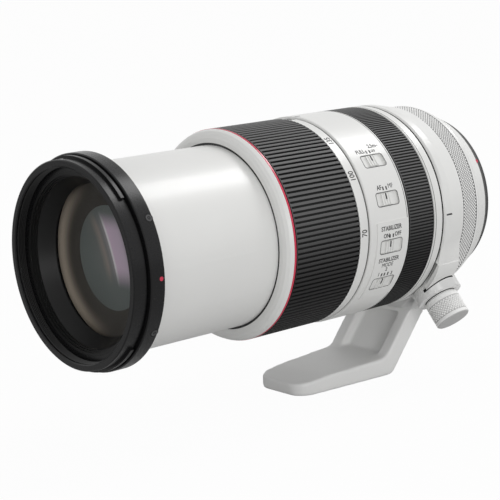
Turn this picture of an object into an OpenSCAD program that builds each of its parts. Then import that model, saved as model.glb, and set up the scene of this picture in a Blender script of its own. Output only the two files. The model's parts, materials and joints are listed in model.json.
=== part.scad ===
// Telephoto zoom lens with a turning tripod collar, run out to its longest setting.
// The lens is drawn in its own frame: z is the distance ahead of the camera flange,
// x is the side with the switches and y is up. lens_frame() then lays it along -Y.

/* [Lengths along the axis] */
// Thickness of the metal mount flange
flange_t = 2.2; // [1.8:0.1:3]
// Length of the bayonet tube behind the flange
bayonet_len = 5.4; // [4.5:0.1:7]
// Length of the tapered rear cover
rear_cover_len = 12.1; // [10:0.1:16]
// Width of the knurled control ring
control_w = 10.1; // [8:0.1:14]
// Width of the tripod collar band
collar_w = 14.8; // [13:0.1:18]
// Width of the fixed trim band ahead of the collar
trim_w = 5.2; // [4:0.1:8]
// Width of the focus ring
focus_w = 15; // [10:0.5:22]
// Width of the switch panel
panel_w = 22.8; // [21:0.1:28]
// Width of the zoom ring's scale band
scale_w = 5.3; // [4:0.1:8]
// Width of the zoom ring's rubber
zoom_w = 35; // [30:0.5:45]
// Width of the red trim ring
red_w = 1.1; // [0.8:0.1:2]
// Depth of the bevelled front cap of the zoom barrel
cap_w = 3.2; // [2.8:0.1:5]
// Length of white barrel that shows when it is run out
exposed_len = 60; // [57:0.5:75]
// Length of the black front ring
front_ring_len = 13.2; // [12:0.1:18]
// Travel of the front barrel from long to short
barrel_travel = 56.5; // [45:0.5:58]
// Length of the front barrel that stays inside the guide tube when run out
engaged_len = 17.2; // [16:0.1:22]

/* [Radial build up] */
// Outer diameter of the sliding front barrel
inner_barrel_d = 76.2; // [70:0.2:84]
// Wall of the front barrel
inner_wall = 1.6; // [1.2:0.1:2]
// Wall of the fixed guide tube
guide_wall = 1.2; // [1:0.1:2]
// Wall of the cam sleeve
sleeve_wall = 1.04; // [0.8:0.02:1.6]
// Wall of the main barrel under the grips
core_wall = 1.3; // [1:0.1:2.4]
// Wall of the main barrel under the collar
seat_wall = 1.7; // [1.4:0.1:2.6]
// Wall of a ring that carries a rubber grip
grip_wall = 1.2; // [1:0.1:2.4]
// Thickness of a rubber grip
rubber_t = 1.34; // [1.1:0.02:2]
// How far the zoom grip lies below the focus grip
zoom_inset = 0.5; // [0.2:0.1:1]
// Wall of the control ring
control_wall = 0.94; // [0.8:0.02:2]
// Wall of the collar at its thin rear edge
collar_wall_rear = 1.8; // [1.4:0.1:3]
// Outer diameter of the front ring at its screws
front_ring_d = 86.2; // [84:0.2:94]
// Outer diameter of the front rim
front_rim_d = 82.6; // [82:0.2:90]

/* [Fits] */
// Gap between neighbouring rings
ring_gap = 0.3; // [0.2:0.05:0.6]
// Gap ahead of the collar band
collar_gap = 0.6; // [0.4:0.1:1]
// Radial clearance of a running fit
run_gap = 0.06; // [0.03:0.01:0.1]
// Radial clearance of a glued or screwed seat
seat_gap = 0.02; // [0.01:0.01:0.05]
// Clearance between pieces that pass each other freely
free_gap = 0.3; // [0.2:0.05:0.5]
// Clearance of the front barrel in the guide tube
slide_gap = 0.4; // [0.3:0.05:0.6]

/* [Camera mount] */
// Outer diameter of the rubber gasket round the flange
gasket_d = 72.4; // [66:0.2:76]
// Width of the gasket, from the edge of the metal flange outwards
gasket_w = 1.8; // [1.2:0.1:2.6]
// Outer diameter of the bayonet tube
bayonet_d = 53.8; // [52:0.1:56]
// Wall of the bayonet tube
bayonet_wall = 2.4; // [2:0.1:3]
// Height of a bayonet lug above the tube
lug_h = 2; // [1.5:0.1:2.6]
// Distance of a mount screw from the edge of the metal flange
screw_inset = 3.4; // [3:0.1:4]
// Radius of a mount screw's shank
mount_screw_r = 1; // [0.8:0.05:1.2]

/* [Grips] */
// Ribs round the zoom grip
zoom_ribs = 134; // [90:1:160]
// Ribs round the focus grip
focus_ribs = 204; // [120:2:240]
// Depth of the grooves in the zoom grip
zoom_rib_h = 0.75; // [0.4:0.05:0.95]
// Depth of the grooves in the focus grip
focus_rib_h = 0.5; // [0.3:0.05:0.8]

/* [Front opening] */
// Diameter of the filter thread
filter_d = 77; // [72:1:77]
// Depth of the filter thread
filter_depth = 4.4; // [3.6:0.1:5]
// Clear opening in front of the front element
glass_open_d = 61; // [52:0.5:63]
// How far the opening's edge covers the rim of the front element
glass_rim = 1.7; // [1:0.1:2.5]

/* [Switches] */
// Length of a switch recess along the lens
switch_len = 12.3; // [11.5:0.1:14]
// Width of a switch recess
switch_w = 5.6; // [5:0.1:7]
// Depth of a switch recess
switch_depth = 0.9; // [0.8:0.1:1.5]
// Travel of a switch slider
switch_travel = 2; // [1:0.1:2.2]
// Height of the raised pad under the two lower switches
pad_h = 0.45; // [0.2:0.05:0.8]

/* [Tripod collar] */
// Height of the lens axis above the underside of the foot
axis_h = 74; // [70:0.5:90]
// Length of the foot
foot_len = 53; // [44:0.5:70]
// Width of the foot at its rear
foot_rear_w = 36.6; // [33:0.2:44]
// Width of the foot at its front
foot_front_w = 30.4; // [26:0.2:38]
// Thickness of the foot at its front edge
foot_front_t = 5.8; // [5:0.1:7]
// Thickness of the foot at its rear edge
foot_rear_t = 8.4; // [7.5:0.1:9]
// Slant of the foot's front face
foot_nose = 0.6; // [0.2:0.1:4]
// Lean of the leg away from upright
leg_lean = 40; // [34:0.5:43]
// Thickness of the leg, square to its rear face
leg_t = 8.3; // [7:0.1:10]
// Thickness of the leg's web behind its hollow
leg_web_t = 4; // [3:0.1:5]
// Thickness of a side flange of the leg
leg_flange_t = 6.5; // [5:0.1:9]
// Radius of the tripod thread
tripod_thread_r = 3.175; // [3:0.005:4.8]
// Depth of the tripod thread
tripod_thread_len = 5.4; // [4.6:0.1:5.4]
// Angle of the clamp knob round the lens, below the switch side
knob_angle = 50; // [47:0.5:52]
// Radius of the clamp knob
knob_r = 8; // [6.5:0.1:9.5]
// Length of the clamp knob
knob_len = 11.8; // [9:0.1:16]
// Radius of the boss under the knob
boss_r = 10.5; // [9.6:0.1:11]
// Height of the boss above the collar band
boss_h = 6.2; // [5:0.1:9]
// Radius of the clamp screw
clamp_screw_r = 2.5; // [2:0.1:3]
// Radius of the collar's hinge pin
hinge_pin_r = 1.2; // [1:0.05:1.5]

/* [Optics inside] */
// Travel of the zoom group from long to short
group_travel = 6; // [3:0.5:6]
// Radius of a cam follower pin
follower_r = 1.9; // [1.5:0.05:2.2]
// Radius of a focus guide rod
rod_r = 1.25; // [1:0.05:1.6]
// Radius of the focus elements
focus_lens_r = 20; // [17:0.5:22]
// Radius of the zoom group's element
zoom_lens_r = 26; // [22:0.5:28]
// Radius of the stabilised element
steady_lens_r = 14; // [11:0.5:15]
// Radius of the fully open iris
iris_open_r = 20.3; // [19:0.1:21]
// Turn of the iris ring from open to closed
iris_ring_turn = 15; // [12:0.5:16]
// Turn of an iris blade from open to closed
iris_blade_turn = 26; // [22:0.5:27]

/* [Hidden] */
$fn = 96;

// Paint and material colours
WHITE = [0.9, 0.89, 0.86];
BLACK = [0.07, 0.07, 0.075];
RUBBER = [0.13, 0.13, 0.135];
RED = [0.75, 0.06, 0.13];
STEEL = [0.72, 0.72, 0.74];
ALLOY = [0.5, 0.5, 0.52];
GOLD = [0.85, 0.66, 0.25];
GLASS = [0.55, 0.65, 0.75, 0.5];
BOARD = [0.1, 0.3, 0.16];

// Radii, from the sliding barrel outwards
inner_r1 = inner_barrel_d / 2;
inner_r0 = inner_r1 - inner_wall;
guide_r0 = inner_r1 + slide_gap;
guide_r1 = guide_r0 + guide_wall;
sleeve_r0 = guide_r1 + run_gap;
sleeve_r1 = sleeve_r0 + sleeve_wall;
core_r0 = sleeve_r1 + free_gap;
core_r1 = core_r0 + core_wall;
grip_r0 = core_r1 + run_gap;
grip_r1 = grip_r0 + grip_wall;
body_r = grip_r1 + rubber_t;
zoom_r = body_r - zoom_inset;
zoom_seat_r = zoom_r - rubber_t;
seat_r = guide_r1 + seat_wall;
band_r0 = seat_r + run_gap;
control_r = band_r0 + control_wall;
collar_rear_r = band_r0 + collar_wall_rear;

// Stations ahead of the flange
cover_s1 = flange_t + rear_cover_len;
control_s0 = cover_s1 + ring_gap;
control_s1 = control_s0 + control_w;
collar_s0 = control_s1 + ring_gap;
collar_s1 = collar_s0 + collar_w;
collar_mid = (collar_s0 + collar_s1) / 2;
trim_s0 = collar_s1 + collar_gap;
trim_s1 = trim_s0 + trim_w;
focus_s0 = trim_s1 + ring_gap;
focus_s1 = focus_s0 + focus_w;
panel_s0 = focus_s1 + ring_gap;
panel_s1 = panel_s0 + panel_w;
zoom_s0 = panel_s1 + ring_gap;
zoom_grip_s0 = zoom_s0 + scale_w;
zoom_s1 = zoom_grip_s0 + zoom_w;
red_s0 = zoom_s1 + ring_gap;
red_s1 = red_s0 + red_w;
cap_s1 = red_s1 + cap_w;
front_s0 = cap_s1 + exposed_len;
rim_s = front_s0 + front_ring_len;

// Zoom drive: front barrel pins at 90 degrees and every third of a turn, group pins between them
zoom_turn = 90;
pin_count = 3;
pin_angle = 90;
group_pin_angle = 30;
pin_gap = free_gap;
inner_s0 = cap_s1 - engaged_len;
follower_s = inner_s0 + follower_r + 1.1;
group_s0 = trim_s0 + 3.6;
group_pin_s = group_s0 + 7.5;
group_len = 56;
group_tube_r1 = inner_r0 - 0.9;
group_tube_r0 = group_tube_r1 - 2;
group_flange_r = guide_r0 - free_gap;
sleeve_s0 = trim_s0 + 0.6;
sleeve_s1 = follower_s + 6;
guide_s0 = collar_s1 - 1.8;
guide_s1 = cap_s1 - 1.6;

// Small bevel of a turned edge
edge = 0.4;
// Overshoot of a cutter through a face
eps = 1;
// Step that keeps two joined faces from lying in one plane
skin = 0.01;

module lens_frame() {
  rotate([90, 0, 0]) children();
}

// Solid of revolution from points of radius and station
module turned(points) {
  rotate_extrude($fn = 120) polygon(points);
}

// Plain ring
module ring(r0, r1, s0, s1) {
  turned([[r0, s0], [r1, s0], [r1, s1], [r0, s1]]);
}

// Ring whose two outer edges are bevelled
module bevel_ring(r0, r1, s0, s1, b = edge) {
  turned([[r0, s0], [r1 - b, s0], [r1, s0 + b], [r1, s1 - b], [r1 - b, s1], [r0, s1]]);
}

// Part of a ring between two angles
module sector(r0, r1, s0, s1, a0, a1) {
  rotate([0, 0, a0]) rotate_extrude(angle = a1 - a0, $fn = 120)
    polygon([[r0, s0], [r1, s0], [r1, s1], [r0, s1]]);
}

// Round pin that points away from the axis
module radial_pin(r, p0, p1, a, s) {
  rotate([0, 0, a]) translate([p0, 0, s]) rotate([0, 90, 0]) cylinder(r = r, h = p1 - p0);
}

// Round bar along the axis
module axial_pin(r, rho, a, s0, s1) {
  rotate([0, 0, a]) translate([rho, 0, s0]) cylinder(r = r, h = s1 - s0);
}

// Block on a radius: radial extent p0 to p1, tangential width w, station s0 to s1
module radial_block(p0, p1, w, a, s0, s1) {
  rotate([0, 0, a]) translate([p0, -w / 2, s0]) cube([p1 - p0, w, s1 - s0]);
}

// Arc of a rounded corner, from angle a0 to a1
function corner_arc(c, r, a0, a1, steps = 6) =
  [for (i = [0 : steps]) let (a = a0 + (a1 - a0) * i / steps) c + r * [cos(a), sin(a)]];

// Block on a radius like radial_block, with its four radial edges rounded by q
module rounded_block(p0, p1, w, q, a, s0, s1) {
  x = (s1 - s0) / 2 - q;
  y = w / 2 - q;
  rotate([0, 0, a]) translate([p0, 0, (s0 + s1) / 2]) rotate([0, 90, 0]) linear_extrude(p1 - p0)
    polygon(concat(corner_arc([x, y], q, 0, 90), corner_arc([-x, y], q, 90, 180),
                   corner_arc([-x, -y], q, 180, 270), corner_arc([x, -y], q, 270, 360)));
}

// Copies round the axis
module around(count, a0 = 0) {
  for (i = [0 : count - 1]) rotate([0, 0, a0 + i * 360 / count]) children();
}

// Height of a shallow spherical cap of the given rise above its rim, at a share of its radius
function cap_height(r, rise, share) =
  let (ball = (r * r + rise * rise) / (2 * rise)) sqrt(ball * ball - pow(r * share, 2)) - (ball - rise);

// Lens element with a rim from s0 to s1, bulging forwards by front and backwards by back
module element(r, s0, s1, front, back, steps = 10) {
  turned(concat(
    [for (i = [0 : steps]) let (k = i / steps) [r * k, s0 - cap_height(r, back, k)]],
    [for (i = [0 : steps]) let (k = 1 - i / steps) [r * k, s1 + cap_height(r, front, k)]]
  ));
}

// Ribbed rubber sleeve with a round bore
module ribbed_grip(bore_r, r, rib_h, ribs, s0, s1) {
  step = 360 / ribs;
  root = r - rib_h;
  corners = [[-0.34, r], [0.22, r], [0.32, root], [0.56, root]];
  translate([0, 0, s0]) difference() {
    linear_extrude(s1 - s0)
      polygon([for (i = [0 : ribs - 1], c = corners)
        let (a = (i + c[0]) * step) [c[1] * cos(a), c[1] * sin(a)]]);
    translate([0, 0, -eps]) cylinder(r = bore_r, h = s1 - s0 + 2 * eps, $fn = 120);
  }
}

// Point of a path that is unrolled at a mean radius: along the arc, along the axis, at radius r
function rolled(p, r, r_mean) =
  let (a = p[0] / r_mean * 180 / PI) [r * cos(a), r * sin(a), p[1]];

// Cutter for a slot that winds back from station s0 by travel while it turns clockwise by turn
module helical_slot(s0, turn, travel, half_w, r0, r1, steps = 24) {
  r_mean = (r0 + r1) / 2;
  arc = turn * PI / 180 * r_mean;
  run = sqrt(arc * arc + travel * travel);
  along = [-arc / run, -travel / run];
  across = [-along[1], along[0]];
  section = [[r0 - eps, -1], [r1 + eps, -1], [r1 + eps, 1], [r0 - eps, 1]];
  points = [for (i = [0 : steps], q = section)
    let (t = -half_w + (run + 2 * half_w) * i / steps)
    rolled([0, s0] + along * t + across * half_w * q[1], q[0], r_mean)];
  sides = [for (i = [0 : steps - 1], j = [0 : 3])
    let (a = 4 * i + j, b = 4 * i + (j + 1) % 4) each [[a, b, b + 4], [a, b + 4, a + 4]]];
  last = 4 * steps;
  caps = [[3, 2, 1], [3, 1, 0], [last, last + 1, last + 2], [last, last + 2, last + 3]];
  polyhedron(points = points, faces = concat(sides, caps), convexity = 6);
}

// Camera mount
mount_screw_count = 4;
mount_screw_a0 = 45;
flange_r = gasket_d / 2 - gasket_w;
mount_rho = flange_r - screw_inset;
screw_boss_r = mount_screw_r + 1.3;
screw_head_r = mount_screw_r + 0.9;
screw_head_t = 0.95;
wall_s1 = flange_t + 2.8;
boss_s1 = wall_s1 + 2;
screw_s1 = boss_s1 - 0.4;
bayonet_r = bayonet_d / 2;
bayonet_r0 = bayonet_r - bayonet_wall;
lug_count = 3;
lug_span = 50;
lock_pin_r = 1.5;

module mount_ring() {
  color(STEEL) lens_frame() difference() {
    union() {
      bevel_ring(bayonet_r0, flange_r, 0, flange_t, 0.3);
      ring(bayonet_r0, bayonet_r, -bayonet_len, 0.5);
      for (i = [0 : lug_count - 1])
        sector(bayonet_r - 0.5, bayonet_r + lug_h, -bayonet_len + 0.2, -bayonet_len + 2,
               20 + i * 360 / lug_count, 20 + lug_span + i * 360 / lug_count);
    }
    around(mount_screw_count, mount_screw_a0) translate([mount_rho, 0, -eps]) {
      cylinder(r = screw_head_r + 0.1, h = screw_head_t + 0.05 + eps);
      cylinder(r = mount_screw_r + seat_gap, h = flange_t + 2 * eps);
    }
    axial_pin(lock_pin_r, mount_rho, 180, -eps, flange_t - 0.5);
  }
}

module mount_screws() {
  color(STEEL) lens_frame() around(mount_screw_count, mount_screw_a0) {
    translate([mount_rho, 0, 0]) difference() {
      union() {
        translate([0, 0, 0.05]) cylinder(r = screw_head_r, h = screw_head_t);
        translate([0, 0, 0.05]) cylinder(r = mount_screw_r, h = screw_s1 - 0.05);
      }
      translate([-screw_head_r, -0.2, -eps]) cube([2 * screw_head_r, 0.4, eps + 0.45]);
    }
  }
}

module mount_gasket() {
  color(RUBBER) lens_frame()
    bevel_ring(flange_r + seat_gap, gasket_d / 2, 0.4, flange_t, 0.3);
}

contact_count = 12;
contact_pitch = 6.6;
contact_r = 0.75;
contact_block_r1 = bayonet_r0 - 0.1;
contact_block_r0 = contact_block_r1 - 2.6;
contact_face = -bayonet_len + 0.4;

module contact_block() {
  half = contact_pitch * (contact_count + 0.8) / 2;
  color(BLACK) lens_frame()
    sector(contact_block_r0, contact_block_r1, contact_face, 1.5, -90 - half, -90 + half);
}

module contact_pins() {
  rho = (contact_block_r0 + contact_block_r1) / 2;
  color(GOLD) lens_frame() for (i = [0 : contact_count - 1])
    axial_pin(contact_r, rho, -90 + (i - (contact_count - 1) / 2) * contact_pitch,
              contact_face - 0.35, contact_face);
}

rear_wall = 2;
rear_opening_r = 23;
spigot_len = 4;
rod_rho = mount_rho + 1;
rod_boss_r = rod_r + 1.5;
rod_angles = [90, 270];

module rear_cover() {
  color(WHITE) lens_frame() difference() {
    union() {
      turned([
        [rear_opening_r, flange_t], [gasket_d / 2 + 0.1, flange_t],
        [gasket_d / 2 + 0.9, flange_t + 0.8], [control_r - 0.6, cover_s1 - 1.2],
        [control_r - 0.6, cover_s1], [guide_r1 - seat_gap, cover_s1],
        [guide_r1 - seat_gap, cover_s1 + spigot_len],
        [guide_r1 - rear_wall, cover_s1 + spigot_len], [guide_r1 - rear_wall, cover_s1 - 1.2],
        [gasket_d / 2 - rear_wall + 1, wall_s1 + 1.4], [gasket_d / 2 - rear_wall + 1, wall_s1],
        [rear_opening_r, wall_s1]
      ]);
      around(mount_screw_count, mount_screw_a0) translate([mount_rho, 0, wall_s1 - 0.5])
        cylinder(r = screw_boss_r, h = boss_s1 - wall_s1 + 0.5);
    }
    around(mount_screw_count, mount_screw_a0) translate([mount_rho, 0, 0])
      cylinder(r = mount_screw_r + seat_gap, h = screw_s1);
    for (a = rod_angles) {
      axial_pin(rod_r + seat_gap, rod_rho, a, wall_s1 - 1.2, wall_s1 + eps);
      axial_pin(rod_boss_r + free_gap, rod_rho, a, wall_s1, cover_s1 + spigot_len + eps);
    }
  }
}

module main_barrel() {
  color(WHITE) lens_frame() turned([
    [guide_r1, cover_s1], [seat_r, cover_s1], [seat_r, trim_s0],
    [body_r - edge, trim_s0], [body_r, trim_s0 + edge], [body_r, trim_s1 - edge],
    [body_r - edge, trim_s1], [core_r1, trim_s1], [core_r1, panel_s1 - edge],
    [core_r0, panel_s1 - edge], [core_r0, trim_s0 + ring_gap], [guide_r1, trim_s0 + ring_gap]
  ]);
}

// Switch panel and its four sliders, from the top one down
switch_angles = [37.2, 15.3, -10.2, -32.6];
switch_on_pad = [0, 0, 1, 1];
switch_mid = panel_s1 - 11.85;
slider_len = 5;
slider_w = switch_w - 0.8;
slider_base_len = switch_len - switch_travel - 0.5;
slider_base_t = 0.5;
switch_corner_r = 1;
slider_index_s = panel_s1 - 11;
pad_a0 = -43;
pad_a1 = 3.5;

function panel_r(i) = body_r + pad_h * switch_on_pad[i];

module switch_panel() {
  color(WHITE) lens_frame() difference() {
    union() {
      bevel_ring(core_r1 + seat_gap, body_r, panel_s0, panel_s1);
      sector(body_r - 1, body_r + pad_h, panel_s0 + 1.3, panel_s1 - 3.5, pad_a0, pad_a1);
    }
    for (i = [0 : 3])
      rounded_block(panel_r(i) - switch_depth, panel_r(i) + 2, switch_w, switch_corner_r,
                    switch_angles[i], switch_mid - switch_len / 2, switch_mid + switch_len / 2);
  }
}

// Slider with a long base plate and a ridged finger pad, at the forward end of its travel
module switch_slider(i) {
  floor_r = panel_r(i) - switch_depth + 0.1;
  base_s1 = switch_mid + switch_len / 2 - 0.25;
  top_r = panel_r(i) + 0.35;
  pad_s0 = slider_index_s - slider_len / 2;
  color(WHITE) lens_frame() difference() {
    union() {
      rounded_block(floor_r, floor_r + slider_base_t, slider_w + 0.4, switch_corner_r - 0.2,
                    switch_angles[i], base_s1 - slider_base_len, base_s1);
      radial_block(floor_r + skin, top_r, slider_w, switch_angles[i], pad_s0, pad_s0 + slider_len);
    }
    for (k = [-1 : 1])
      radial_block(top_r - 0.3, top_r + 1, slider_w + 2, switch_angles[i],
                   slider_index_s + k * 1.4 - 0.3, slider_index_s + k * 1.4 + 0.3);
  }
}

module guide_tube() {
  half = follower_r + pin_gap;
  color(ALLOY) lens_frame() difference() {
    ring(guide_r0, guide_r1 - seat_gap, guide_s0, guide_s1);
    around(pin_count, pin_angle)
      translate([guide_r0 - eps, -half, follower_s - barrel_travel - half])
        cube([guide_wall + 2 * eps, 2 * half, barrel_travel + 2 * half]);
    around(pin_count, group_pin_angle)
      translate([guide_r0 - eps, -half, group_pin_s - group_travel - half])
        cube([guide_wall + 2 * eps, 2 * half, group_travel + 2 * half]);
  }
}

module red_ring() {
  color(RED) lens_frame() bevel_ring(guide_r1, zoom_r, red_s0, red_s1, 0.2);
}

seal_wall = 0.9;

module front_cap() {
  lip_r = inner_r1 + run_gap + seal_wall;
  flat_r = lip_r + 1.9;
  color(WHITE) lens_frame() turned([
    [guide_r1, red_s1], [zoom_r - 0.1, red_s1], [zoom_r - 0.15, red_s1 + 0.3],
    [flat_r + 0.79 * (zoom_r - flat_r), cap_s1 - 0.48 * cap_w],
    [flat_r + 0.46 * (zoom_r - flat_r), cap_s1 - 0.16 * cap_w],
    [flat_r, cap_s1], [lip_r, cap_s1], [lip_r, guide_s1], [guide_r1, guide_s1]
  ]);
}

module barrel_seal() {
  color(BLACK) lens_frame()
    ring(inner_r1 + run_gap, inner_r1 + run_gap + seal_wall - seat_gap, guide_s1, cap_s1 - 0.15);
}

// Rear optics and focus drive
rear_lens_r = 20.4;
rear_lens_back = 0.8;
rear_seat_w = 1.2;
cell_flange_r = rear_opening_r + 2;
frame_t = 2;
frame_s1 = guide_s0 - 1;
frame_s0 = frame_s1 - frame_t;
motor_w = 8;
motor_p0 = 33.2;
motor_s0 = wall_s1 + 8.5;
board_t = 1.2;
board_r0 = mount_rho - 4.5;
board_r1 = mount_rho + 3.4;

module rear_cell() {
  seat_s = flange_t + 1.2;
  dip = cap_height(rear_lens_r, rear_lens_back, 1 - rear_seat_w / rear_lens_r);
  color(BLACK) lens_frame() turned([
    [rear_lens_r - rear_seat_w, flange_t], [rear_opening_r - 0.4, flange_t],
    [rear_opening_r - 0.4, wall_s1], [cell_flange_r, wall_s1],
    [cell_flange_r, wall_s1 + 1.2], [rear_opening_r - 0.4, wall_s1 + 1.2],
    [rear_opening_r - 0.4, wall_s1 + 6], [rear_lens_r + seat_gap, wall_s1 + 6],
    [rear_lens_r + seat_gap, seat_s], [rear_lens_r - rear_seat_w, seat_s - dip]
  ]);
}

module rear_lens() {
  color(GLASS) lens_frame() element(rear_lens_r, flange_t + 1.25, wall_s1 + 4, 1.6, rear_lens_back);
}

module main_board() {
  color(BOARD) lens_frame() difference() {
    ring(board_r0, board_r1, boss_s1, boss_s1 + board_t);
    for (a = rod_angles) axial_pin(rod_r + 0.6, rod_rho, a, boss_s1 - eps, boss_s1 + board_t + eps);
  }
}

module focus_frame() {
  color(ALLOY) lens_frame() difference() {
    ring(focus_lens_r + 2.5, guide_r1 - seat_gap, frame_s0, frame_s1);
    for (a = rod_angles) axial_pin(rod_r + seat_gap, rod_rho, a, frame_s0 - eps, frame_s1 + eps);
  }
}

module focus_rods() {
  color(STEEL) lens_frame() for (a = rod_angles) axial_pin(rod_r, rod_rho, a, wall_s1 - 1.1, frame_s1);
}

module focus_motors() {
  color(ALLOY) lens_frame() for (a = [0, 180])
    radial_block(motor_p0, motor_p0 + 3.6, motor_w, a, motor_s0, frame_s0);
}

focus_a_s0 = frame_s0 - 8;
focus_b_s0 = boss_s1 + board_t + 4.3;
carriage_t = 5;

module focus_carriage(s0, arm_angle) {
  color(BLACK) lens_frame() difference() {
    union() {
      ring(focus_lens_r + seat_gap, focus_lens_r + 8, s0, s0 + carriage_t);
      for (a = rod_angles) {
        radial_block(focus_lens_r + 6, rod_rho, 4, a, s0, s0 + carriage_t);
        axial_pin(rod_boss_r, rod_rho, a, s0, s0 + carriage_t);
      }
      radial_block(focus_lens_r + 6, motor_p0 - free_gap, 5, arm_angle, s0, s0 + carriage_t);
    }
    for (a = rod_angles) axial_pin(rod_r + run_gap, rod_rho, a, s0 - eps, s0 + carriage_t + eps);
  }
}

module focus_carriage_a() {
  focus_carriage(focus_a_s0, 0);
}

module focus_carriage_b() {
  focus_carriage(focus_b_s0, 180);
}

module focus_lens_a() {
  color(GLASS) lens_frame() element(focus_lens_r, focus_a_s0 + 1, focus_a_s0 + 4, 0.9, 0.9);
}

module focus_lens_b() {
  color(GLASS) lens_frame() element(focus_lens_r, focus_b_s0 + 1, focus_b_s0 + 4, 0.9, 0.9);
}

// Zoom ring with its grip and cam sleeve
module zoom_ring() {
  color(WHITE) lens_frame() turned([
    [sleeve_r1 + seat_gap, zoom_s0], [zoom_r - 0.3 - edge, zoom_s0], [zoom_r - 0.3, zoom_s0 + edge],
    [zoom_r - 0.3, zoom_grip_s0], [zoom_seat_r, zoom_grip_s0], [zoom_seat_r, zoom_s1],
    [sleeve_r1 + seat_gap, zoom_s1]
  ]);
}

module zoom_rubber() {
  color(RUBBER) lens_frame()
    ribbed_grip(zoom_seat_r + seat_gap, zoom_r, zoom_rib_h, zoom_ribs, zoom_grip_s0, zoom_s1);
}

module cam_sleeve() {
  half = follower_r + pin_gap;
  color(ALLOY) lens_frame() difference() {
    ring(sleeve_r0, sleeve_r1, sleeve_s0, sleeve_s1);
    around(pin_count, pin_angle)
      helical_slot(follower_s, zoom_turn, barrel_travel, half, sleeve_r0, sleeve_r1);
    around(pin_count, group_pin_angle)
      helical_slot(group_pin_s, zoom_turn, group_travel, half, sleeve_r0, sleeve_r1);
  }
}

// Front barrel and front group
socket_len = 3;
retainer_r1 = inner_r0 - 0.35;
bore_s0 = rim_s - edge - filter_depth;
glass_s1 = bore_s0 - 10.1;
front_lens_r = glass_open_d / 2 + glass_rim;
front_lens_edge = 6;
front_lens_rise = 4;
front_lens_back = 1.2;
front_seat_w = 1.6;
glass_clear = 0.05;
cell_s0 = glass_s1 - 12;

module inner_barrel() {
  color(WHITE) lens_frame() difference() {
    ring(inner_r0, inner_r1, inner_s0, front_s0 + socket_len);
    around(pin_count, pin_angle)
      radial_pin(follower_r + seat_gap, inner_r0 - eps, inner_r1 + eps, 0, follower_s);
  }
}

module barrel_followers() {
  color(GOLD) lens_frame() around(pin_count, pin_angle)
    radial_pin(follower_r, inner_r0 - 0.3, sleeve_r1 - 0.1, 0, follower_s);
}

hood_lug_mid = [70, 180, 290];
hood_lug_half = 27;

module front_ring() {
  r = front_ring_d / 2;
  rim = front_rim_d / 2;
  groove_s = rim_s - 6.6;
  color(BLACK) lens_frame() union() {
    turned([
      [inner_r1 + seat_gap, front_s0], [r - edge, front_s0], [r, front_s0 + edge],
      [r, groove_s - edge], [r - edge, groove_s], [rim - 1.1, groove_s],
      [rim - 1.1, groove_s + 0.7], [rim, groove_s + 0.7], [rim, rim_s - edge],
      [rim - edge, rim_s], [filter_d / 2 + edge, rim_s], [filter_d / 2, rim_s - edge],
      [filter_d / 2, bore_s0], [retainer_r1 + seat_gap, bore_s0],
      [retainer_r1 + seat_gap, front_s0 + socket_len + seat_gap],
      [inner_r1 + seat_gap, front_s0 + socket_len + seat_gap]
    ]);
    for (a = hood_lug_mid)
      sector(rim - 0.5, rim + 1.1, groove_s + 1.1, groove_s + 2.6, a - hood_lug_half, a + hood_lug_half);
  }
}

module front_retainer() {
  glass_r = glass_open_d / 2;
  lip = retainer_r1 - 1.1;
  step = 0.5;
  seat = [for (k = [0 : 0.25 : 1])
    let (rho = glass_r + k * (front_lens_r - glass_r),
         rise = cap_height(front_lens_r, front_lens_rise, rho / front_lens_r))
      [rho, glass_s1 + rise + glass_clear * (1 - k)]];
  color(BLACK) lens_frame() turned(concat(seat, [
    [retainer_r1, glass_s1], [retainer_r1, bore_s0 - 0.1],
    [lip, bore_s0 - 0.1], [lip, bore_s0 - 1], [lip - step, bore_s0 - 1],
    [lip - step, bore_s0 - 2], [lip - 2 * step, bore_s0 - 2], [lip - 2 * step, bore_s0 - 3],
    [glass_r, seat[0][1] + 0.35]
  ]));
}

module front_cell() {
  seat_s = glass_s1 - front_lens_edge;
  ledge_r = front_lens_r - front_seat_w;
  dip = cap_height(front_lens_r, front_lens_back, ledge_r / front_lens_r);
  color(BLACK) lens_frame() turned([
    [ledge_r, cell_s0], [inner_r0 - seat_gap, cell_s0], [inner_r0 - seat_gap, glass_s1],
    [front_lens_r + seat_gap, glass_s1], [front_lens_r + seat_gap, seat_s], [ledge_r, seat_s - dip]
  ]);
}

module front_lens() {
  color(GLASS) lens_frame()
    element(front_lens_r, glass_s1 - front_lens_edge + glass_clear, glass_s1,
            front_lens_rise, front_lens_back);
}

// Focus ring and control ring
module focus_ring() {
  color(BLACK) lens_frame() ring(grip_r0, grip_r1, focus_s0, focus_s1);
}

module focus_rubber() {
  color(RUBBER) lens_frame()
    ribbed_grip(grip_r1 + seat_gap, body_r, focus_rib_h, focus_ribs, focus_s0, focus_s1);
}

module control_ring() {
  color(WHITE) lens_frame() bevel_ring(band_r0, control_r, control_s0, control_s1, 0.3);
}

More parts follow.
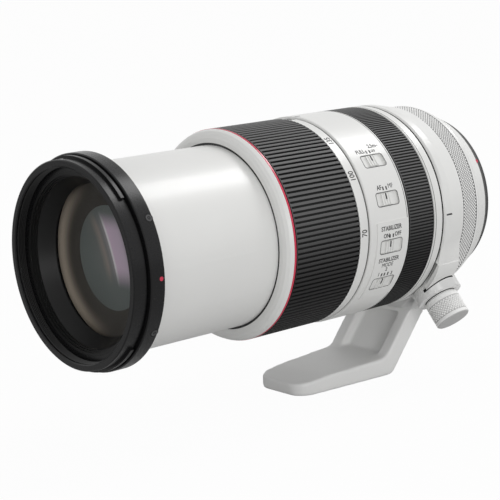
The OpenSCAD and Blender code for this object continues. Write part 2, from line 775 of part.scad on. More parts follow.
// Tripod collar: a saddle with leg and foot, and a strap that swings up on a hinge pin
seam_angle = -28;
hinge_angle = 148;
seam_gap = 0.25;
hinge_rho = body_r + 0.8;
knuckle_r = hinge_pin_r + 1.2;
knuckle_mid = collar_w / 3;
boss_rho = body_r + boss_h;
boss_s = collar_mid - 1.9;
tongue_w = 7;
tongue_r1 = body_r - 0.6;
tongue_angle = -(knob_angle + 4);
tongue_gap = 0.35;
swing_r = hinge_rho + band_r0 + 0.05;
foot_s0 = collar_s1 + 6.9;
foot_s1 = foot_s0 + foot_len;
foot_corner_r = 9;
foot_bottom = -axis_h;
foot_top = foot_bottom + foot_rear_t;
heel_r = 5;
root_r = 7;
bush_r = tripod_thread_r + 2;
bush_s = foot_s0 + 0.5 * foot_len;
leg_s0 = collar_s0 + 0.6;
leg_top = -sqrt(pow(band_r0, 2) - pow(foot_rear_w / 2, 2)) - 2;

// Cross section of the collar band: chamfered ahead, thinner behind
module band(a0, a1) {
  rotate([0, 0, a0]) rotate_extrude(angle = a1 - a0, $fn = 120) polygon([
    [band_r0, collar_s0], [collar_rear_r - 0.5, collar_s0], [collar_rear_r, collar_s0 + 0.5],
    [body_r, collar_s1 - 5], [body_r, collar_s1 - 1.6], [body_r - 1.2, collar_s1],
    [band_r0, collar_s1]
  ]);
}

// Hinge knuckle between two stations
module knuckle(s0, s1, r) {
  axial_pin(r, hinge_rho, hinge_angle, s0, s1);
}

// Leg and foot seen from below, tapered, with round corners ahead: across and along
function foot_plan() =
  let (q = foot_corner_r, rear = foot_rear_w / 2, front = foot_front_w / 2 - q, hi = foot_s1 - q)
  concat(
    [[rear, collar_s0], [rear, foot_s0]],
    corner_arc([front, hi], q, 0, 90), corner_arc([-front, hi], q, 90, 180),
    [[-rear, foot_s0], [-rear, collar_s0]]
  );

// Station of a line that leans back with the leg, t ahead of its rear face, at height h
function leg_line(h, t) = foot_s0 - (h - foot_bottom) * tan(leg_lean) + t / cos(leg_lean);

// Side outline of leg and foot: station along, height up
function leg_outline() =
  let (turn = tan((90 - leg_lean) / 2), root_s = leg_line(foot_top, leg_t) + root_r * turn)
  concat(
    corner_arc([foot_s0 + heel_r * turn, foot_bottom + heel_r], heel_r, 180 + leg_lean, 270),
    [
      [foot_s1 - foot_nose, foot_bottom], [foot_s1, foot_bottom + foot_front_t],
      [foot_s1 - 15, foot_bottom + 0.4 * foot_front_t + 0.6 * foot_rear_t]
    ],
    corner_arc([root_s, foot_top + root_r], root_r, 270, 180 + leg_lean),
    [
      [max(leg_line(leg_top, leg_t), leg_s0 + 1), leg_top], [leg_s0, leg_top],
      [leg_s0, foot_bottom + (foot_s0 - leg_s0) / tan(leg_lean)]
    ]
  );

// Leg and foot in one: the side outline cut to the plan
module leg_and_foot() {
  intersection() {
    translate([foot_rear_w / 2, 0, 0]) rotate([0, -90, 0])
      linear_extrude(foot_rear_w) polygon(leg_outline());
    rotate([90, 0, 0]) linear_extrude(axis_h + eps) polygon(foot_plan());
  }
}

// Hollow in the front of the leg, between its two side flanges
module leg_recess(w) {
  ahead = leg_line(foot_top, leg_t) + root_r;
  ceiling = -body_r - 3;
  translate([w / 2, 0, 0]) rotate([0, -90, 0]) linear_extrude(w) polygon([
    [leg_line(foot_top, leg_web_t), foot_top], [ahead, foot_top], [ahead, ceiling],
    [leg_line(ceiling, leg_web_t), ceiling]
  ]);
}

// Room for the strap's tongue, which lies against the barrel, out to radius r
module tongue_pocket(r) {
  half = tongue_w / 2 + tongue_gap;
  sector(band_r0 - 4, r, collar_mid - half, collar_mid + half, tongue_angle - 2.5, seam_angle + 6);
}

// Leg, foot, knob boss and ear, cut clear of the rings that turn inside and beside the collar
module saddle_fittings() {
  difference() {
    union() {
      leg_and_foot();
      radial_pin(boss_r, seat_r, boss_rho, -knob_angle, boss_s);
      sector(band_r0, body_r + 1.5, collar_mid - 5.5, collar_mid + 4.5,
             -knob_angle, seam_angle - 2 * seam_gap);
    }
    translate([0, 0, -eps]) cylinder(r = band_r0 + 0.7, h = collar_s1 + 2 * eps);
    translate([0, 0, -eps]) cylinder(r = control_r + free_gap, h = collar_s0 + eps);
    translate([0, 0, collar_s1 - skin]) cylinder(r = body_r + free_gap, h = foot_len + 30);
    tongue_pocket(tongue_r1 + tongue_gap);
  }
}

module collar_base() {
  color(WHITE) lens_frame() difference() {
    union() {
      difference() {
        band(hinge_angle + seam_gap, 360 + seam_angle - seam_gap);
        tongue_pocket(body_r + 4);
      }
      saddle_fittings();
      knuckle(collar_s0, collar_s0 + knuckle_mid - 0.15, knuckle_r);
      knuckle(collar_s1 - knuckle_mid + 0.15, collar_s1, knuckle_r);
    }
    radial_pin(clamp_screw_r + run_gap, tongue_r1, boss_rho + eps, -knob_angle, boss_s);
    knuckle(collar_s0 - eps, collar_s1 + eps, hinge_pin_r + seat_gap);
    knuckle(collar_s0 + knuckle_mid - 0.15, collar_s1 - knuckle_mid + 0.15, knuckle_r + free_gap);
    leg_recess(foot_rear_w - 2 * leg_flange_t);
    translate([0, -axis_h - eps, bush_s]) rotate([-90, 0, 0])
      cylinder(r = bush_r + seat_gap, h = tripod_thread_len + eps);
  }
}

module tripod_bush() {
  color(STEEL) lens_frame() translate([0, -axis_h, bush_s]) rotate([-90, 0, 0]) difference() {
    cylinder(r = bush_r, h = tripod_thread_len);
    translate([0, 0, -eps]) cylinder(r = tripod_thread_r, h = tripod_thread_len + 2 * eps);
  }
}

module hinge_pin() {
  color(STEEL) lens_frame() knuckle(collar_s0 + 0.2, collar_s1 - 0.2, hinge_pin_r);
}

module collar_strap() {
  color(WHITE) lens_frame() difference() {
    union() {
      band(seam_angle + seam_gap, hinge_angle - seam_gap);
      sector(band_r0 + free_gap, tongue_r1, collar_mid - tongue_w / 2, collar_mid + tongue_w / 2,
             tongue_angle, seam_angle + 4);
      knuckle(collar_s0 + knuckle_mid + 0.15, collar_s1 - knuckle_mid - 0.15, knuckle_r);
    }
    intersection() {
      axial_pin(swing_r, hinge_rho, hinge_angle, collar_s0 - eps, collar_s1 + eps);
      sector(band_r0 - 2, body_r + 2, collar_s0, collar_s1, tongue_angle - 3, seam_angle);
    }
    knuckle(collar_s0 - eps, collar_s1 + eps, hinge_pin_r + run_gap);
    knuckle(collar_s0 - eps, collar_s0 + knuckle_mid + 0.15, knuckle_r + free_gap);
    knuckle(collar_s1 - knuckle_mid - 0.15, collar_s1 + eps, knuckle_r + free_gap);
  }
}

knob_rho0 = boss_rho + free_gap;
knob_rho1 = knob_rho0 + knob_len;
shaft_rho1 = knob_rho1 - 3;

module clamp_shaft() {
  color(STEEL) lens_frame()
    radial_pin(clamp_screw_r, tongue_r1 + 0.1, shaft_rho1, -knob_angle, boss_s);
}

module clamp_knob() {
  color(WHITE) lens_frame() rotate([0, 0, -knob_angle]) translate([0, 0, boss_s]) rotate([0, 90, 0])
    difference() {
      turned([
        [0, knob_rho0], [knob_r - 0.8, knob_rho0], [knob_r, knob_rho0 + 0.8],
        [knob_r, knob_rho1 - 0.6], [knob_r - 0.6, knob_rho1], [0, knob_rho1]
      ]);
      translate([0, 0, knob_rho0 - eps])
        cylinder(r = clamp_screw_r + run_gap, h = shaft_rho1 - knob_rho0 + eps + 0.1);
    }
}

// Zoom group: a carriage tube that holds an element, the steady unit and the iris
iris_s = group_s0 + 18;
iris_plate_t = 1.5;
blade_count = 9;
blade_t = 0.11;
blade_pitch = 0.16;
blade_s0 = iris_s + iris_plate_t + 0.1;
iris_ring_s0 = blade_s0 + blade_count * blade_pitch + 0.15;
iris_ring_t = 2;
pivot_rho = iris_open_r + 10.2;
pivot_r = 0.6;
drive_rho = pivot_rho - 0.9;
drive_angle = 9.5;
drive_r = 0.5;
steady_s = group_s0 + 32;
steady_plate_t = 1.5;
steady_t = 2.6;
steady_travel = 1;
steady_cell_half = steady_lens_r + 2.2;
steady_frame_x = steady_cell_half + 4;
steady_frame_y = steady_cell_half + 6;

module zoom_carriage() {
  color(BLACK) lens_frame() difference() {
    union() {
      ring(group_tube_r0, group_tube_r1, group_s0, group_s0 + group_len);
      ring(group_tube_r0, group_flange_r, group_s0 + 4, group_s0 + 11);
      ring(zoom_lens_r - 1.5, group_tube_r0 + 0.5, group_s0, group_s0 + 2);
      ring(zoom_lens_r + seat_gap, group_tube_r0 + 0.5, group_s0 + 2, group_s0 + 10);
      ring(iris_open_r, group_tube_r0 + 0.5, iris_s, iris_s + iris_plate_t);
      ring(steady_lens_r + 1.5, group_tube_r0 + 0.5, steady_s, steady_s + steady_plate_t);
      for (m = [0, 1]) mirror([0, m, 0]) translate([-steady_frame_x, steady_frame_y + 0.2, steady_s])
        cube([2 * steady_frame_x, 3, steady_plate_t + steady_t + 1]);
    }
    around(pin_count, group_pin_angle)
      radial_pin(follower_r + seat_gap, group_tube_r1, group_flange_r + eps, 0, group_pin_s);
    around(blade_count)
      translate([pivot_rho, 0, iris_s + 0.3]) cylinder(r = pivot_r + run_gap, h = iris_plate_t);
  }
}

module zoom_followers() {
  color(GOLD) lens_frame() around(pin_count, group_pin_angle)
    radial_pin(follower_r, group_tube_r1 + 0.1, sleeve_r1 - 0.1, 0, group_pin_s);
}

module zoom_lens() {
  color(GLASS) lens_frame() element(zoom_lens_r, group_s0 + 3.3, group_s0 + 8, 1.4, 1.2);
}

// Frame that shifts sideways, and the cell in it that shifts up and down
module steady_frame() {
  window_y = steady_cell_half + steady_travel + 0.4;
  s0 = steady_s + steady_plate_t + free_gap;
  color(ALLOY) lens_frame() difference() {
    translate([-steady_frame_x, -steady_frame_y, s0])
      cube([2 * steady_frame_x, 2 * steady_frame_y, steady_t]);
    translate([-steady_cell_half - 0.2, -window_y, s0 - eps])
      cube([2 * steady_cell_half + 0.4, 2 * window_y, steady_t + 2 * eps]);
  }
}

module steady_cell() {
  s0 = steady_s + steady_plate_t + free_gap;
  h = steady_cell_half;
  color(BLACK) lens_frame() difference() {
    translate([-h, -h, s0]) cube([2 * h, 2 * h, steady_t]);
    translate([0, 0, s0 - eps]) cylinder(r = steady_lens_r + seat_gap, h = steady_t + 2 * eps);
  }
}

module steady_lens() {
  s0 = steady_s + steady_plate_t + free_gap;
  color(GLASS) lens_frame() element(steady_lens_r, s0 + 0.3, s0 + steady_t - 0.3, 0.7, 0.25);
}

// Straight cam slot that carries a blade's drive peg as ring and blade turn
function turned_about(p, c, a) =
  let (d = p - c) c + [d[0] * cos(a) - d[1] * sin(a), d[0] * sin(a) + d[1] * cos(a)];

module iris_ring() {
  start = [drive_rho * cos(drive_angle), drive_rho * sin(drive_angle)];
  moved = turned_about(start, [pivot_rho, 0], iris_blade_turn);
  end = turned_about(moved, [0, 0], -iris_ring_turn);
  along = end - start;
  half = drive_r + 0.4;
  color(ALLOY) lens_frame() difference() {
    ring(drive_rho - 3.6, group_tube_r0 - run_gap, iris_ring_s0, iris_ring_s0 + iris_ring_t);
    around(blade_count) translate([0, 0, iris_ring_s0 - eps]) {
      translate(start) cylinder(r = half, h = iris_ring_t + 2 * eps);
      translate(end) cylinder(r = half, h = iris_ring_t + 2 * eps);
      translate(start) rotate([0, 0, atan2(along[1], along[0])]) translate([0, -half, 0])
        cube([norm(along), 2 * half, iris_ring_t + 2 * eps]);
    }
  }
}

// One blade: a crescent with an ear that holds its pivot peg and drive peg
module iris_blade(i) {
  s0 = blade_s0 + (i - 1) * blade_pitch;
  color(BLACK) lens_frame() rotate([0, 0, (i - 1) * 360 / blade_count]) {
    sector(iris_open_r, iris_open_r + 6.9, s0, s0 + blade_t, -6, 78);
    sector(iris_open_r + 6.2, pivot_rho + 1.2, s0 + skin, s0 + blade_t - skin, -4, 13);
    axial_pin(pivot_r, pivot_rho, 0, iris_s + 0.5, s0 + blade_t - 2 * skin);
    axial_pin(drive_r, drive_rho, drive_angle, s0 + 2 * skin, iris_ring_s0 + iris_ring_t - 0.3);
  }
}

mount_ring();
mount_screws();
mount_gasket();
contact_block();
contact_pins();
rear_cover();
main_barrel();
switch_panel();
guide_tube();
red_ring();
front_cap();
barrel_seal();
rear_cell();
rear_lens();
main_board();
focus_frame();
focus_rods();
focus_motors();
zoom_ring();
zoom_rubber();
cam_sleeve();
inner_barrel();
front_ring();
barrel_followers();
front_cell();
front_retainer();
front_lens();
focus_ring();
focus_rubber();
control_ring();
collar_base();
tripod_bush();
hinge_pin();
collar_strap();
clamp_shaft();
clamp_knob();
switch_slider(1);  // focus_switch
switch_slider(0);  // limit_switch
switch_slider(2);  // steady_switch
switch_slider(3);  // mode_switch
focus_carriage_a();
focus_lens_a();
focus_carriage_b();
focus_lens_b();
zoom_carriage();
zoom_followers();
zoom_lens();
steady_frame();
steady_cell();
steady_lens();
iris_ring();
iris_blade(1);  // iris_blade_1
iris_blade(2);  // iris_blade_2
iris_blade(3);  // iris_blade_3
iris_blade(4);  // iris_blade_4
iris_blade(5);  // iris_blade_5
iris_blade(6);  // iris_blade_6
iris_blade(7);  // iris_blade_7
iris_blade(8);  // iris_blade_8
iris_blade(9);  // iris_blade_9
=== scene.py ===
"""White telephoto zoom lens with a tripod collar: its looks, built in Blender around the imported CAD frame.

The optical axis lies along Y and the front of the lens points to -Y. Places on the lens are given as a radius from
the axis, an angle from +X towards +Z, and a station: the distance ahead of the camera flange. Lengths are in
millimetres and angles in degrees, except in the stage, whose lengths are in metres.
"""

from __future__ import annotations

import json
import logging
import math
from dataclasses import dataclass, replace
from enum import Enum
from typing import Callable, Optional, Sequence, Union

import bmesh
import bpy
from mathutils import Matrix, Quaternion, Vector

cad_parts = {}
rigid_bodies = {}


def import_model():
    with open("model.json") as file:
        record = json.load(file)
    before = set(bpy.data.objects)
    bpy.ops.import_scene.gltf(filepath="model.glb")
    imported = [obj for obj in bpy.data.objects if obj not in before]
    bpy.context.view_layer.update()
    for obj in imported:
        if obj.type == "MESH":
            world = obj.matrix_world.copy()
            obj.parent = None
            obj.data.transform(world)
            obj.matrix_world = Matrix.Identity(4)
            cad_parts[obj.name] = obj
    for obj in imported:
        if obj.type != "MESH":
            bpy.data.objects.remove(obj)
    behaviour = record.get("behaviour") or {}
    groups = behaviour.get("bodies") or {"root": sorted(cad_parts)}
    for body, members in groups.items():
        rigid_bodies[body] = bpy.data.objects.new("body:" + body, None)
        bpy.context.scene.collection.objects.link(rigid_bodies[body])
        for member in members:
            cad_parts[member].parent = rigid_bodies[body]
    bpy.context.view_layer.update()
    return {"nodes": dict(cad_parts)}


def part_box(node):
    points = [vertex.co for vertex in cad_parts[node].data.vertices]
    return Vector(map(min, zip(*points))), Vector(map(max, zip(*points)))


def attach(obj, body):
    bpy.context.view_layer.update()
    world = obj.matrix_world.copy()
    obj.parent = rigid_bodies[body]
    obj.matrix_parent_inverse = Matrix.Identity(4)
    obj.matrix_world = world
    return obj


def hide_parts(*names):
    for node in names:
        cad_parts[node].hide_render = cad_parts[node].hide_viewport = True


LOG = logging.getLogger("zoom_lens")
MM = 0.001
KNOB_ANGLE, KNOB_STATION = -50.0, 30.5
Colour = tuple[float, float, float]
Place = tuple[float, float, float]
Pair = tuple[float, float]
Profile = Sequence[Pair]
Shape = bmesh.types.BMesh


def compass(angle: float) -> Pair:
    """Cosine and sine of an angle in degrees."""
    return math.cos(math.radians(angle)), math.sin(math.radians(angle))


# Shader and geometry node maths


def math_method(operation: str, flipped: bool = False) -> Callable[..., Wire]:
    """Makes a method of Wire that adds one Math node.

    Args:
        operation: what the node works out.
        flipped: whether the wire itself comes second.

    Returns:
        The method.
    """

    def method(self: Wire, other: Term = 0.0) -> Wire:
        """Adds the node and returns its value."""
        terms = [other, self] if flipped else [self, other]
        return self.net.node("ShaderNodeMath", {"operation": operation}, terms)

    return method


class Wire:
    """A node socket that can be used in Python expressions."""

    def __init__(self, net: Net, socket: bpy.types.NodeSocket) -> None:
        """Keeps the socket and the net it belongs to."""
        self.net = net
        self.socket = socket

    __add__ = __radd__ = math_method("ADD")
    __sub__ = math_method("SUBTRACT")
    __rsub__ = math_method("SUBTRACT", flipped=True)
    __mul__ = __rmul__ = math_method("MULTIPLY")
    __truediv__ = math_method("DIVIDE")
    __mod__ = math_method("FLOORED_MODULO")
    larger = math_method("MAXIMUM")
    floor = math_method("FLOOR")
    cos = math_method("COSINE")
    sin = math_method("SINE")
    root = math_method("SQRT")

    def hypot(self, other: Wire) -> Wire:
        """Length of a vector with these two parts."""
        return (self * self + other * other).root()

    def step(self, low: float, high: float) -> Wire:
        """Smooth ramp from 0 where the value is low to 1 where it is high."""
        settings = {"interpolation_type": "SMOOTHSTEP"}
        return self.net.node("ShaderNodeMapRange", settings, {"Value": self, "From Min": low, "From Max": high})


Term = Union[float, int, Wire]
Tint = Union[Colour, Wire]


class Net:
    """A node tree that is filled by one method."""

    def __init__(self, tree: bpy.types.NodeTree) -> None:
        """Empties the tree and keeps it."""
        tree.nodes.clear()
        self.tree = tree

    def node(
        self,
        kind: str,
        settings: dict[str, object] | None = None,
        inputs: dict[str, object] | Sequence[object] | None = None,
        out: int | str = 0,
    ) -> Wire:
        """Adds one node.

        Args:
            kind: type of the node.
            settings: properties, set before the sockets; the stops of a ramp go under "stops".
            inputs: values or wires for the sockets, by name or in order.
            out: index or name of the output that is returned.

        Returns:
            The chosen output as a wire.
        """
        made = self.tree.nodes.new(kind)
        for key, value in (settings or {}).items():
            if key == "stops":
                self._set_stops(made.color_ramp, value)
            else:
                setattr(made, key, value)
        pairs = inputs.items() if isinstance(inputs, dict) else enumerate(inputs or [])
        for key, value in pairs:
            self._plug(made.inputs[key], value)
        return Wire(self, made.outputs[out] if len(made.outputs) else made.inputs[0])

    def _plug(self, socket: bpy.types.NodeSocket, value: object) -> None:
        """Links a wire to a socket, or sets the socket's own value.

        Args:
            socket: the input.
            value: a wire or a plain value.
        """
        if isinstance(value, Wire):
            self.tree.links.new(value.socket, socket)
        else:
            socket.default_value = value

    @staticmethod
    def _set_stops(ramp: bpy.types.ColorRamp, stops: Sequence[tuple[float, Colour]]) -> None:
        """Fills a colour ramp with (position, colour) stops.

        Args:
            ramp: the ramp.
            stops: position and colour of each stop, in order.
        """
        while len(ramp.elements) < len(stops):
            ramp.elements.new(1.0)
        for element, (position, colour) in zip(ramp.elements, stops):
            element.position = position
            element.color = (*colour, 1.0)

    def mix(self, factor: Term, a: Tint, b: Tint) -> Wire:
        """Mixes two colours.

        Args:
            factor: share of the second colour.
            a: first colour.
            b: second colour.

        Returns:
            The mixed colour.
        """
        mixer = self.tree.nodes.new("ShaderNodeMix")
        mixer.data_type = "RGBA"
        sockets = {s.identifier: s for s in mixer.inputs}
        self._plug(sockets["Factor_Float"], factor)
        for name, tint in (("A_Color", a), ("B_Color", b)):
            self._plug(sockets[name], tint if isinstance(tint, Wire) else (*tint, 1.0))
        return Wire(self, next(s for s in mixer.outputs if s.identifier == "Result_Color"))

    def place(self) -> Wire:
        """Object coordinates in metres."""
        return self.node("ShaderNodeTexCoord", out="Object")

    def coordinates(self, axes: str) -> list[Wire]:
        """The object coordinates named in axes, in millimetres."""
        split = self.node("ShaderNodeSeparateXYZ", None, [self.place()]).socket.node
        return [Wire(self, split.outputs[axis]) / MM for axis in axes]


# Finishes


class Slot(Enum):
    """Material slots of the record."""

    WHITE_PAINT = "white_paint"
    BLACK_PAINT = "black_paint"
    BLACK_PLASTIC = "black_plastic"
    WHITE_PLASTIC = "white_plastic"
    GRIP_RUBBER = "grip_rubber"
    RED_TRIM = "red_trim"
    MOUNT_STEEL = "mount_steel"
    BARE_ALLOY = "bare_alloy"
    CONTACT_GOLD = "contact_gold"
    FOLLOWER_BRASS = "follower_brass"
    LENS_GLASS = "lens_glass"
    CIRCUIT_BOARD = "circuit_board"
    IRIS_BLACK = "iris_black"


@dataclass(frozen=True)
class Finish:
    """A surface finish: colour, gloss and fine grain, as one procedural material."""

    CLOUD_SCALE = 60.0
    CLOUD_DETAIL = 4.0
    GRAIN_DETAIL = 2.0
    BUMP_DISTANCE = 0.2 * MM
    GLOSS_SPREAD = 0.12
    COAT_ROUGHNESS = 0.12

    name: str
    slot: Slot
    colour: Colour
    roughness: float = 0.4
    metallic: float = 0.0
    coat: float = 0.0
    turned: bool = False
    grain: float = 0.25
    bump: float = 0.04
    mottle: float = 0.03
    alpha: float = 1.0
    specular: float = 0.5

    def material(self) -> bpy.types.Material:
        """Makes the material, or returns the one already made.

        Returns:
            The material.
        """
        made = bpy.data.materials.get(self.name)
        if made is None:
            made = bpy.data.materials.new(self.name)
            made.use_nodes = True
            net = Net(made.node_tree)
            net.node("ShaderNodeOutputMaterial", None, {"Surface": self._shader(net)})
        return made

    def base(self, net: Net) -> Wire:
        """Base colour with a slow, faint unevenness.

        Args:
            net: the material's nodes.

        Returns:
            The colour.
        """
        settings = {"Vector": net.place(), "Scale": self.CLOUD_SCALE, "Detail": self.CLOUD_DETAIL}
        dark = tuple(c * (1 - 2 * self.mottle) for c in self.colour)
        light = tuple(min(1.0, c * (1 + self.mottle)) for c in self.colour)
        return net.mix(net.node("ShaderNodeTexNoise", None, settings), dark, light)

    def _grain(self, net: Net) -> Wire:
        """Fine noise that the bump and the gloss follow, in rings round the lens axis on turned metal.

        Args:
            net: the material's nodes.

        Returns:
            The noise.
        """
        x, y, z = net.coordinates("XYZ")
        across = [x.hypot(z), y, 0.0] if self.turned else [x, y, z]
        place = net.node("ShaderNodeCombineXYZ", None, across)
        settings = {"Vector": place, "Scale": 1 / self.grain, "Detail": self.GRAIN_DETAIL}
        return net.node("ShaderNodeTexNoise", None, settings)

    def _shader(self, net: Net) -> Wire:
        """Principled shader with the finish's colour, gloss and bump.

        Args:
            net: the material's nodes.

        Returns:
            The shader.
        """
        grain = self._grain(net)
        relief = {"Strength": self.bump, "Distance": self.BUMP_DISTANCE, "Height": grain}
        return net.node("ShaderNodeBsdfPrincipled", None, {
            "Base Color": self.base(net),
            "Roughness": grain * self.GLOSS_SPREAD + (self.roughness - self.GLOSS_SPREAD / 2),
            "Metallic": self.metallic,
            "Specular IOR Level": self.specular,
            "Alpha": self.alpha,
            "Coat Weight": self.coat,
            "Coat Roughness": self.COAT_ROUGHNESS,
            "Normal": net.node("ShaderNodeBump", None, relief),
        })


@dataclass(frozen=True)
class Grooved(Finish):
    """Finish of a ribbed or knurled ring: painted shade darkens its grooves, and a painted sheen can make its upper
    side paler.
    """

    FADE = 0.1

    groove_r: float = 44.2
    crest_r: float = 44.47
    depth: float = 1.0
    groove_shade_colour: Colour = (0.004, 0.004, 0.004)
    painted_sheen_colour: Optional[Colour] = None
    painted_sheen_heights: Pair = (-22.0, 18.0)

    def radius(self, net: Net) -> Wire:
        """Distance from the lens axis."""
        x, z = net.coordinates("XZ")
        return x.hypot(z)

    def base(self, net: Net) -> Wire:
        """Colour from groove to crest by the distance from the axis, with painted shade in the grooves.

        Args:
            net: the material's nodes.

        Returns:
            The colour.
        """
        away = self.radius(net)
        floor = self.groove_r - self.depth
        # Painted shade: the grooves are darkened where the light does not reach them.
        groove_shade = away.step(floor - self.FADE, floor) * (1 - away.step(self.groove_r, self.crest_r))
        crest = super().base(net)
        # Painted sheen: the crests turn paler towards the upper side, where the light from above falls.
        if self.painted_sheen_colour is not None:
            (height,) = net.coordinates("Z")
            crest = net.mix(height.step(*self.painted_sheen_heights), crest, self.painted_sheen_colour)
        return net.mix(groove_shade, crest, self.groove_shade_colour)


@dataclass(frozen=True)
class GroovedKnob(Grooved):
    """Grooved finish of the clamp knob, which stands out from the lens, with painted shade that makes its end face
    greyer.
    """

    end: Pair = (63.1, 63.28)
    end_shade_colour: Colour = (0.48, 0.48, 0.475)

    def radius(self, net: Net) -> Wire:
        """Distance from the knob's own axis.

        Args:
            net: the material's nodes.

        Returns:
            The distance.
        """
        x, y, z = net.coordinates("XYZ")
        cos, sin = compass(KNOB_ANGLE)
        return (z * cos - x * sin).hypot(y + KNOB_STATION)

    def base(self, net: Net) -> Wire:
        """Colour of the grooves and crests, and the painted shade of the end face.

        Args:
            net: the material's nodes.

        Returns:
            The colour.
        """
        x, z = net.coordinates("XZ")
        cos, sin = compass(KNOB_ANGLE)
        # Painted shade: the end face, which faces down and away from the light, is greyer.
        end = (x * cos + z * sin).step(*self.end)
        return net.mix(end, super().base(net), self.end_shade_colour)


@dataclass(frozen=True)
class CellDepths(Finish):
    """Dark wall of the front cell as it is seen through the front element, with a painted highlight on one side of
    its edge.
    """

    inner_r: float = 21.0
    rim_r: float = 30.6
    highlight_colour: Colour = (0.5, 0.43, 0.35)
    highlight_angle: float = 190.0
    highlight_share: float = 0.75
    side_ramp: Pair = (0.1, 0.95)

    def base(self, net: Net) -> Wire:
        """Colour from the dark wall to the painted highlight at the edge on one side.

        Args:
            net: the material's nodes.

        Returns:
            The colour.
        """
        x, z = net.coordinates("XZ")
        rho = x.hypot(z)
        cos, sin = compass(self.highlight_angle)
        # Painted highlight: the rim is pale on one side only, where it catches the light.
        side = ((x * cos + z * sin) / rho).step(*self.side_ramp)
        glow = rho.step(self.rim_r - self.highlight_share * (self.rim_r - self.inner_r), self.rim_r)
        return net.mix(glow * glow * side, super().base(net), self.highlight_colour)


@dataclass(frozen=True)
class CoatedGlass(Finish):
    """Coated inner element: grey green, with a painted reflection of its coatings, a lilac band and a pale streak
    where they catch the light.
    """

    centre: Pair = (-44.3, -14.6)
    curve: float = 50.0
    reach: Pair = (-14.0, 12.0)
    fade_in: Pair = (-12.0, -2.0)
    fade_out: Pair = (11.0, 19.0)
    stops: tuple[tuple[float, Colour], ...] = (
        (0.0, (0.2, 0.225, 0.215)),
        (0.24, (0.21, 0.225, 0.215)),
        (0.37, (0.36, 0.32, 0.285)),
        (0.45, (0.27, 0.27, 0.27)),
        (0.525, (0.4, 0.385, 0.39)),
        (0.54, (1.0, 0.97, 1.0)),
        (0.565, (1.0, 0.93, 0.98)),
        (0.59, (0.86, 0.68, 0.84)),
        (0.82, (0.78, 0.65, 0.78)),
        (1.0, (0.28, 0.28, 0.29)),
    )

    def base(self, net: Net) -> Wire:
        """Colour across the band of painted reflection, fading to the plain tint at the band's ends.

        Args:
            net: the material's nodes.

        Returns:
            The colour.
        """
        x, z = net.coordinates("XZ")
        # Painted reflection: a curved band of lilac and pale colour, fading out above and below.
        away = (x - self.centre[0]).hypot(z - self.centre[1]) - self.curve
        low, high = self.reach
        across = net.node("ShaderNodeValToRGB", {"stops": self.stops}, [(away - low) / (high - low)])
        lit = z.step(*self.fade_in) * (1 - z.step(*self.fade_out))
        return net.mix(lit, super().base(net), across)


def grey(level: float) -> Colour:
    """A neutral colour."""
    return level, level, level


